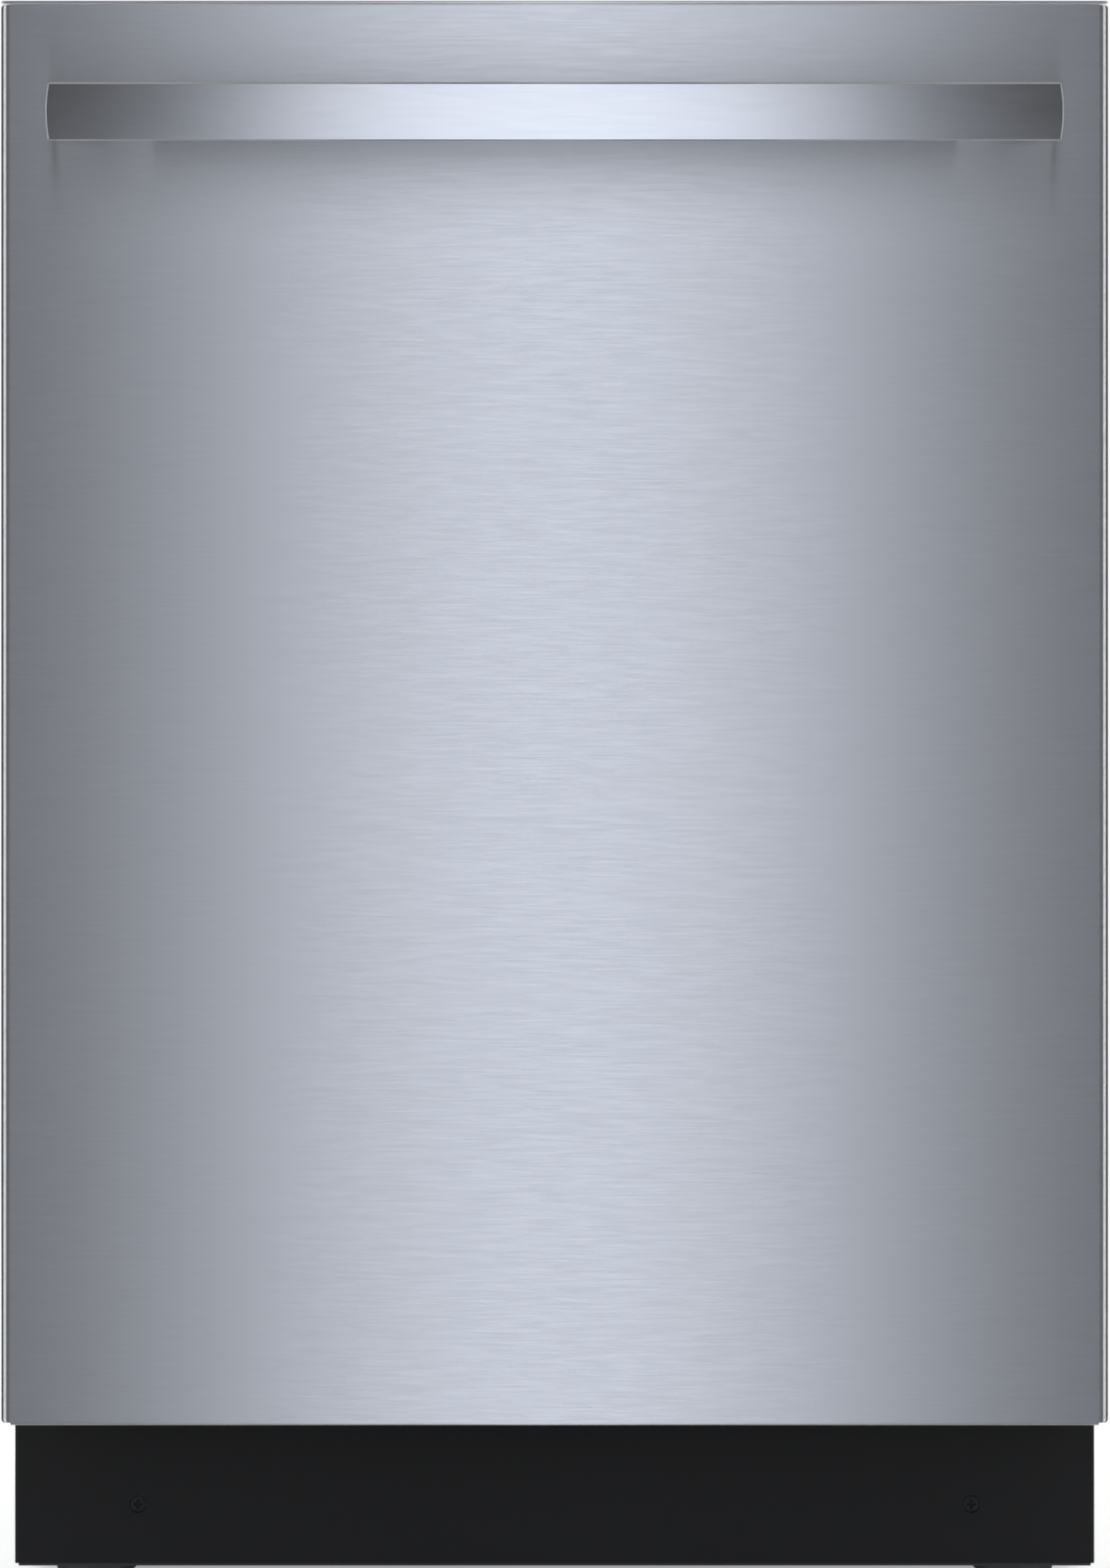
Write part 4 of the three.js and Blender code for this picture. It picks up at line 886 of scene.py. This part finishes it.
def plumbing():
    """Spray arms, the pipe up the tub's back wall, the inlet valve and the junction box."""
    spray_arm("lower_arm", "lower_spray_arm", 228, 134, 128, 149)
    spray_arm("upper_arm", "upper_spray_arm", 215, 516, 512, 536)
    _, (y0, y1), (z0, z1) = spans("feed_pipe")
    y, z = y1 - 9, z0 + 9
    pipe = Piece().wire(rounded_path([(0, y0, z), (0, y, z), (0, y, z1)], 26, 10), 8.4, 20)
    for height in (190, 300, 420, z1 - 10):
        pipe.turned(sleeve(8, 9, height - 5, height + 5), (0, y, 0), segments=28)
        pipe.box((-15, 15), (y + 3, y1 + 1.5), around(height, 5), 1)
    for place in (y0 + 4, 200):
        pipe.turned(sleeve(8, 9, place - 3, place + 3), (0, 0, z), "Y", 28)
    pipe.done("wash_pipe", "feed_pipe")
    (x0, x1), (_, y1), (z0, _) = spans("inlet_valve")
    centre = (x0 + x1) / 2
    valve = Piece().box((x0 + 2, x1 - 2), (-158, -120), (z0, 66), 3, 3).box((x0, x1), (-156, -150), (z0, 62), 1)
    valve.turned([(0, 64), (15, 64), (16, 66), (16, 92), (14, 95), (6, 95), (6, 100), (0, 100)],
                 (centre, -140, 0))
    ridge = [(9, -124), (13, -124)]
    for y in spread(-120, -104, 6):
        ridge += [(13, y), (12, y + 1.6)]
    valve.turned(ridge + [(12.4, y1 - 0.6), (12, y1), (9, y1)], (centre, 0, 50), "Y")
    valve.done("water_valve", "inlet_valve")
    x, y, (z0, z1) = spans("junction_box")
    wall = 1.4
    levels = ((wall, z0 + wall), (wall, z1), (0, z1), (0, z0))
    box = Piece().loft([level_ring(x, y, z, inset, 3) for inset, z in levels])
    for screw_x in (x[0] + 12, x[1] - 12):
        screw_head(box, (screw_x, y[0] + 20, z0 + wall), "Z", 1, 3, 1.6)
    box.done("wiring_box", "junction_box")


# ------------------------------------------------------------------ rails, hinges and springs


def rail(side, sign):
    """A channel on the tub's wall, which the upper rack's rollers run in."""
    node = f"upper_rail_{side}"
    x, (y0, y1), (z0, z1) = spans(node)
    mouth, web = x[::sign]
    outline = bent_strip([(mouth, z0 + 5), (mouth, z0 + 1), (web - sign, z0 + 1), (web - sign, z1 - 1),
                          (mouth, z1 - 1), (mouth, z1 - 5)], 1.4, 2.5)
    channel = Piece().prism(outline, "Y", y0, y1)
    for y in (y0 + 24, -20, y1 - 30):
        screw_head(channel, (web - sign * 1.7, y, (z0 + z1) / 2), "X", -sign, 4, 1.8)
    channel.done(f"rack_rail_{side}", node)


def hinge(side, sign):
    """A bent plate with a pin on the cabinet, and the door's strap that swings on it."""
    axis = (0, HINGE_Y, HINGE_Z)
    bend = [(sign * 284.6, HINGE_Y), (sign * 284.6, -217.6), (sign * 263, -217.6)]
    plate = Piece().prism(bent_strip(bend, 1.8, 3), "Z", 103.4, 124.6, 0.3, 2, 60)
    plate.turned(disc(13, sign * 283.7, sign * 286.2), axis, "X")
    plate.turned([(0, sign * 285), (7, sign * 285), (7, sign * 288.4), (5, sign * 288.8), (5, sign * 296.2),
                  (4.2, sign * 297), (0, sign * 297)], axis, "X")
    for x in (268, 276):
        screw_head(plate, (sign * x, -218.6, 114), "Y", -1, 3, 1.2)
    plate.done(f"hinge_plate_{side}", f"hinge_bracket_{side}")
    node = f"hinge_arm_{side}"
    (x0, x1), (y0, y1), _ = spans(node)
    waist, shoulder = 118, 292
    outline = arc((HINGE_Y, HINGE_Z), 13, 180, 360, 16) + [(y1, waist), (y1, shoulder)]
    outline += arc((y1 - 8, shoulder), 8, 0, 90, 4) + arc((y0 + 8, shoulder), 8, 90, 180, 4) + [(y0, waist)]
    bore = Piece().turned(disc(5.4, sign * 288, sign * 300), axis, "X")
    for z in (180, 250):
        bore.prism(rounded_rectangle((-254, z), (-246, z + 34), 3.9), "X", sign * 288, sign * 300)
    Piece().prism(outline, "X", x0, x1, 0.5, 2, 60).done(f"hinge_strap_{side}", node, cutters=[bore])


def spring(side, sign):
    """A coil with a hook at each end, under the tub's side."""
    radius, wire, turns, steps, hook = 7.5, 1.5, 46, 14, 4
    x, level, start, end = sign * TUB_HALF, 86, -120, 70
    coil = []
    for i in range(turns * steps + 1):
        a = 2 * math.pi * i / steps
        y = start + (end - start) * i / (turns * steps)
        coil.append((x + radius * math.cos(a), y, level + radius * math.sin(a)))
    piece = Piece().wire(coil, wire, 6)
    for way, y in ((-1, start), (1, end)):
        bend = [(x, y + way * 26 + hook * math.sin(a), level + hook * (1 - math.cos(a)))
                for a in spread(0, way * math.pi * 1.5, 9)]
        piece.wire([(x, y, level), (x, y + way * 22, level)] + bend, wire, 6)
    piece.done(f"hinge_spring_{side}", f"door_spring_{side}")


def side_metalwork():
    for side, sign in SIDES:
        rail(side, sign)
        hinge(side, sign)
        spring(side, sign)


# ------------------------------------------------------------------ the door's inside


def inner_door():
    """A drawn steel liner with a sunk middle and the dispenser's hatch, pressed ribs and edge screws."""
    (x0, x1), (y0, y1), (z0, z1) = spans("door_inner_liner")
    top_share = 0.786  # the raised rim is narrower along the top

    def ring(inset, y, radius):
        outline = rounded_rectangle((x0 + inset, z0 + inset), (x1 - inset, z1 - top_share * inset), radius, 6)
        return [(x, y, z) for x, z in outline]

    profile = [(0, y0, 9), (0, y1 - 4, 9), (0.5, y1 - 2.2, 9), (1.9, y1 - 0.6, 8), (4, y1, 7), (52, y1, 24),
               (54, y1 - 0.5, 23), (55.2, y1 - 1.8, 22), (57.5, y1 - 9.6, 20), (58.8, y1 - 11.4, 19),
               (61, y1 - 12, 18)]
    rings = [ring(*row) for row in profile]
    rings += [upright_ring((-96, 96), y, (559, 661), 0, 4, 6) for y in (y1 - 12, y1 - 13)]
    for inset, y, radius in reversed(profile):
        edge = 1.0 if inset < 30 else -0.9 if inset < 58 else 0
        thick = 1.0 if inset >= 4 else 0 if inset == 0 and y == y0 else 0.6
        rings.append(ring(inset + edge, y - thick, radius))
    notches = Piece()
    for _, sign in SIDES:
        notches.box((sign * 278, sign * 310), (-262, -220), (100, 150), 0)
    Piece().loft(rings, closed=True).done("door_liner", "door_inner_liner", cutters=[notches], smooth=40)
    trim = Piece()
    for z in (232, 300, 368, 436, 504, 712, 748):
        trim.prism(rounded_rectangle((-168, z - 7), (168, z + 7), 6.9, 6), "Y", y1 - 12.6, y1 - 10.4, 1.1, 3)
    for _, sign in SIDES:
        for z in (200, 340, 480, 620, 780):
            screw_head(trim, (sign * 262, y1 - 0.2, z), "Y", 1, 4, 1.6)
    trim.done("liner_pressings", slot="tub_steel", body="door")


def controls():
    """The hollow strip on the door's top edge with its keys, lamps and display, and the latch."""
    x, y, (z0, z1) = spans("control_panel")
    wall, gap = 2.5, 0.3
    case = Piece().box(x, y, (z0, z1), 1.6, 3)
    hollow = Piece().box((x[0] + wall, x[1] - wall), (y[0] + wall, y[1] - wall), (z0 - 6, z1 - wall), 1)
    hollow.box((-34, 34), (y[1] - 5.5, y[1] + 4), (z0 - 6.5, 850), 0)
    glass = spans("display_window")
    wells = Piece().box(*[(low - gap, high + gap) for low, high in glass[:2]], (z1 - 1, z1 + 2), 0)
    lamps = Piece()
    for name in ("power", "cycle", "options", "delay", "dry", "start"):
        across, along, (low, high) = spans(f"button_{name}")
        wells.loft([level_ring(across, along, z, -0.4, 3.4) for z in (z1 - 6, z1 + 2)])
        levels = ((0, low), (0, high - 1.2), (0.25, high - 0.6), (0.8, high - 0.1), (1.8, high),
                  (4.2, high - 0.35))
        key = Piece().loft([level_ring(across, along, z, inset, max(0.3, 3 - inset)) for inset, z in levels])
        key.done(f"key_{name}", f"button_{name}")
        lamps.turned([(0, z1 - 0.3), (0.9, z1 - 0.3), (0.8, z1 + 0.12), (0, z1 + 0.2)],
                     (sum(across) / 2, along[1] + 4.5, 0), segments=16)
    case.done("control_case", "control_panel", cutters=[hollow, wells])
    Piece().box(*glass, 0.25).done("display_glass", "display_window")
    lamps.done("indicator_lamps", slot="button_plastic", body="door")
    x, y, z = spans("door_latch")
    slot = Piece().box((-17, 17), (-247, y[1] + 3), (839.5, z[1] + 3), 0)
    Piece().box(x, y, z, 1.2).done("latch_housing", "door_latch", cutters=[slot])
    outline = bent_strip([(-260, 838.2), (-249, 838.2), (-240, 838.6), (-236, 840.6)], 1.4, 2)
    Piece().prism(outline, "X", -9, 9, 0.3, 2, 60).done("latch_catch", slot="zinc_steel", body="door")


def dispenser():
    """A case in the liner's hatch with an open cup, the lid that slides over it and the rinse-aid cap."""
    x, (y0, y1), z = spans("dispenser_body")
    levels = ((0, -240.65), (0, y1 - 1.6), (0.6, y1 - 0.4), (2.2, y1))
    case = Piece().box((-94.5, 94.5), (y0, y1 - 0.5), (560.5, 659.5), 1.5)
    case.loft([upright_ring(x, y, z, inset, 8) for inset, y in levels])
    levels = ((0, y1 + 4), (0, -262), (1.2, -265), (4, -266))
    cup = Piece().loft([upright_ring((-84, -8), y, (574, 646), inset, 9) for inset, y in levels])
    cup.turned(disc(8.4, -250, y1 + 4), (CAP_X, 0, CAP_Z), "Y")
    cup.box((4, 88), (y0 - 3, -252), (567, 653), 0)
    case.done("dispenser_case", "dispenser_body", cutters=[cup])
    x, (y0, y1), z = spans("dispenser_lid")
    flat = y0 + 3
    levels = ((0.4, y0), (0, y0 + 0.5), (0, flat - 1.2), (0.6, flat - 0.4), (1.8, flat), (7, flat),
              (8, flat - 0.7))
    lid = Piece().loft([upright_ring(x, y, z, inset, 7) for inset, y in levels])
    lid.box((-64, -28), (flat - 1.4, y1), (578, 584), 1.2, 3)
    for ridge in spread(594, 640, 7):
        lid.box((-72, -20), (flat - 1.2, flat - 0.1), around(ridge, 1), 0.4)
    lid.done("detergent_lid", "dispenser_lid")
    y0, y1 = spans("rinse_aid_cap")[1]
    outer = -234.6
    cap = Piece().turned([(0, y0), (7, y0), (8, y0 + 1), (8, outer), (20, outer), (21, outer + 0.6),
                          (21, outer + 2), (20, outer + 3), (15.5, outer + 3), (14.5, outer + 2.2),
                          (0, outer + 2.2)], (CAP_X, 0, CAP_Z), "Y")
    cap.box(around(CAP_X, 15.5), (outer + 1.8, y1), around(CAP_Z, 2.8), 1.3, 3)
    for u, v in circle(20.6, 24):
        cap.wire([(CAP_X + u, y, CAP_Z + v) for y in (outer + 0.8, outer + 2.2)], 0.7, 6)
    cap.done("rinse_cap", "rinse_aid_cap")


# ------------------------------------------------------------------ racks


def wire_basket(rack, x, y, z, across, along, tiers):
    """A welded basket: U-shaped wires both ways, hoops round them and a thick rim."""
    thick, thin, top = 2.6, 1.9, z[1] - 4
    floor, left, right = z[0] + thin, x[0] + thin, x[1] - thin
    for v in spread(y[0] + 22, y[1] - 22, across):
        rack.wire(rounded_path([(left, v, top), (left, v, floor), (right, v, floor), (right, v, top)], 16), thin)
    floor, front, rear = z[0] + 3 * thin - 0.3, y[0] + thin, y[1] - thin
    for u in spread(x[0] + 20, x[1] - 20, along):
        rack.wire(rounded_path([(u, front, top), (u, front, floor), (u, rear, floor), (u, rear, top)], 16), thin)
    for height in tiers:
        rack.wire(level_ring(x, y, height, thin + 2.6, 18, 5), thin, closed=True)
    rack.wire(level_ring(x, y, z[1] - thick, thick, 20, 5), thick, 10, closed=True)


def tine_row(rack, xs, y, z, tall):
    """Upright supports on one bar."""
    rack.wire([(min(xs) - 8, y, z), (max(xs) + 8, y, z)], 2.0)
    for x in xs:
        rack.wire([(x, y, z + rise) for rise in (0, tall * 0.5, tall - 1, tall)], 1.8)


def rack_wheel(place, side):
    """A tyre and a hub joined by a thin disc and six spokes."""
    node = f"rack_wheel_{place}_{side}"
    (x0, x1), _, (z0, z1) = spans(node)
    x, y, z = middle(node)
    r = (z1 - z0) / 2
    wheel = Piece()
    wheel.turned([(r - 4, x0), (r - 0.8, x0), (r, x0 + 0.8), (r, x1 - 0.8), (r - 0.8, x1), (r - 4, x1)],
                 axis="X", segments=48)
    wheel.turned(sleeve(4.4, 7.6, x0, x1), axis="X", segments=28)
    for _ in range(6):
        wheel.box(around(x, 2.4), (-1.3, 1.3), (7, r - 3.6), 0.4).turn(60, "X")
    wheel.turned(sleeve(7.2, r - 3.8, x - 0.7, x + 0.7), axis="X")
    wheel.move(Matrix.Translation((0, y, z)))
    wheel.done(f"roller_{place}_{side}", node)


def lower_rack():
    """A deep basket on four wheels, with rows of plate supports, one of which folds down."""
    _, (y0, y1), (_, z1) = spans("lower_rack")
    floor = 158
    rack = Piece()
    wire_basket(rack, (-RACK_HALF, RACK_HALF), (y0, y1), (floor, z1), 17, 15, (212, 262))
    tine_row(rack, spread(-230, 120, 15), -20, floor + 8, 74)
    tine_row(rack, spread(-230, 230, 19), 210, floor + 8, 84)
    rack.done("lower_basket", "lower_rack")
    fittings = Piece()
    for place, side in CORNERS:
        _, y, z = middle(f"rack_wheel_{place}_{side}")
        sign = dict(SIDES)[side]
        plate = arc((y, z), 11, 180, 360, 10) + arc((y, floor + 34), 14, 0, 180, 10)
        fittings.prism(plate, "X", sign * 253.6, sign * 258.4, 0.8)
        fittings.turned([(0, sign * 256), (4, sign * 256), (4, sign * 271), (6.5, sign * 271),
                         (6.5, sign * 272.4), (5.5, sign * 273), (0, sign * 273)], (0, y, z), "X", 24)
    fittings.prism(rounded_rectangle((y0, z1 - 19), (y0 + 9, z1), 3.5), "X", -70, 70, 1.2)
    fittings.done("lower_rack_fittings", slot="grey_plastic", body="lower_rack")
    for place, side in CORNERS:
        rack_wheel(place, side)
    (x0, x1), (y0, y1), (z0, z1) = spans("folding_tines")
    comb = Piece()
    y, z = (y0 + y1) / 2, z0 + 3
    comb.wire([(x0, y, z), (x1, y, z)], 2.6, 12)
    for x in spread(x0 + 10, x1 - 6, 18):
        comb.wire([(x, y, z), (x, y, z1 - 5), (x, y, z1 - 1), (x, y, z1)], 1.8)
    for x in (x0 + 3, (x0 + x1) / 2 + 10, x1 - 3):
        comb.turned(disc(3, x - 3, x + 3), (0, y, z), "X", 20)
    comb.done("plate_comb", "folding_tines")


def cutlery_basket():
    """Eight cells with slatted walls and a carrying handle across the top."""
    x, y, (z0, z1) = spans("cutlery_basket")
    (x0, x1), (y0, y1) = x, y
    half, slat, thin, bar = 1.2, 1.5, 0.8, 1.4  # halves of a band's, a slat's and a floor bar's width
    bands = [(z0, z0 + 2.8), (z0 + 42.8, z0 + 45.6), (z0 + 86.8, z0 + 89.6), (z1 - 4.7, z1)]
    basket = Piece()
    for u in spread(x0 + half, x1 - half, 3):
        for band in bands:
            basket.box(around(u, half), y, band, 0.5)
        for v in spread(y0 + half, y1 - half, 29):
            basket.box(around(u, thin), around(v, slat), (z0, z1 - 1), 0.3, 1)
    for v in spread(y0 + half, y1 - half, 5):
        for band in bands:
            basket.box(x, around(v, half), band, 0.5)
        for u in spread(x0 + half, x1 - half, 12):
            basket.box(around(u, slat), around(v, thin), (z0, z1 - 1), 0.3, 1)
    for u in spread(x0 + 4, x1 - 4, 12):
        basket.box(around(u, bar), y, (z0, z0 + 2), 0.3, 1)
    for v in spread(y0 + 4, y1 - 4, 26):
        basket.box(x, around(v, bar), (z0 + 0.2, z0 + 2.2), 0.3, 1)
    centre, front, rear = (x0 + x1) / 2, y0 + 64, y1 - 64
    grip = rounded_path([(centre, front, z1 - 6), (centre, front, z1 - 1), (centre, front, z1 + 24),
                         (centre, rear, z1 + 24), (centre, rear, z1 - 6)], 22, 8)
    basket.sweep(grip, rounded_rectangle((-3.2, -5), (3.2, 5), 2.4), (1, 0, 0))
    basket.done("cutlery_holder", "cutlery_basket")


def upper_rack():
    """A shallow basket on side runners, with cup rows, the feed of the arm below it and a folding shelf."""
    z1 = spans("upper_rack")[2][1]
    floor, front, rear = 552, -200, 256
    rack = Piece()
    wire_basket(rack, (-RACK_HALF, RACK_HALF), (front, rear), (floor, z1), 17, 13, (604,))
    for y in (-60, 60, 180):
        tine_row(rack, spread(-100, 100, 9), y, floor + 8, 42)
    for x in (-125, 125):
        rack.wire(rounded_path([(x, front + 4, floor + 9), (x, front + 30, floor + 30),
                                (x, rear - 30, floor + 30), (x, rear - 4, floor + 9)], 20), 1.9)
    rack.done("upper_basket", "upper_rack")
    fittings = Piece()
    for _, sign in SIDES:
        fittings.box((sign * 266.4, sign * 273.6), (-196, 262), (556, 568), 1.2)
        for y in (-186, 246):
            fittings.turned([(0, sign * 266), (7.4, sign * 266), (8, sign * 267), (8, sign * 273),
                             (7.4, sign * 274), (0, sign * 274)], (0, y, 562), "X", 32)
        for y in (-150, 30, 210):
            fittings.box((sign * 255, sign * 267), around(y, 12), (557.4, 566.6), 1.2)
            fittings.box((sign * 252.5, sign * 257.5), around(y, 15), (556, 604), 1.6, 3)
    fittings.prism(rounded_rectangle((front, z1 - 17), (front + 8, z1), 3.4), "X", -64, 64, 1.2)
    fittings.box((-9, 9), (31, 283.5), (539.2, 551), 3, 3)
    fittings.turned(sleeve(5, 9, 530, 541), (0, RISER_Y, 0))
    fittings.turned([(0, 538), (22, 539), (22, 541), (0, 546)], (0, RISER_Y, 0))
    fittings.done("upper_rack_fittings", slot="grey_plastic", body="upper_rack")
    (x0, x1), (y0, y1), (z0, z1) = spans("cup_shelf")
    z = (z0 + z1) / 2
    shelf = Piece().wire(level_ring((x0, x1), (y0, y1), z, 2, 10, 5), 2.0, 10, closed=True)
    for y in spread(y0 + 22, y1 - 22, 8):
        shelf.wire([(x0 + 2, y, z), (x1 - 2, y, z)], 1.5)
    for x in (x0 + 34, x1 - 34):
        shelf.wire([(x, y0 + 2, z), (x, y1 - 2, z)], 1.5)
    shelf.done("cup_rest", "cup_shelf")


def dress_cad_nodes():
    """Every CAD node takes its slot's material, also where a finer piece stands for it."""
    for node, slot in SLOT_OF.items():
        frame["nodes"][node].data.materials.clear()
        frame["nodes"][node].data.materials.append(MATERIALS[slot])


bpy.context.scene.view_settings.view_transform = "Standard"
make_camera()
make_world()
make_floor()
make_lights()
dress_cad_nodes()
for build in (outer_panel, handle, toe_kick, base, tub, gasket, blanket, fixings, pumps, sump, filters, plumbing,
              side_metalwork, inner_door, controls, dispenser, lower_rack, cutlery_basket, upper_rack):
    build()
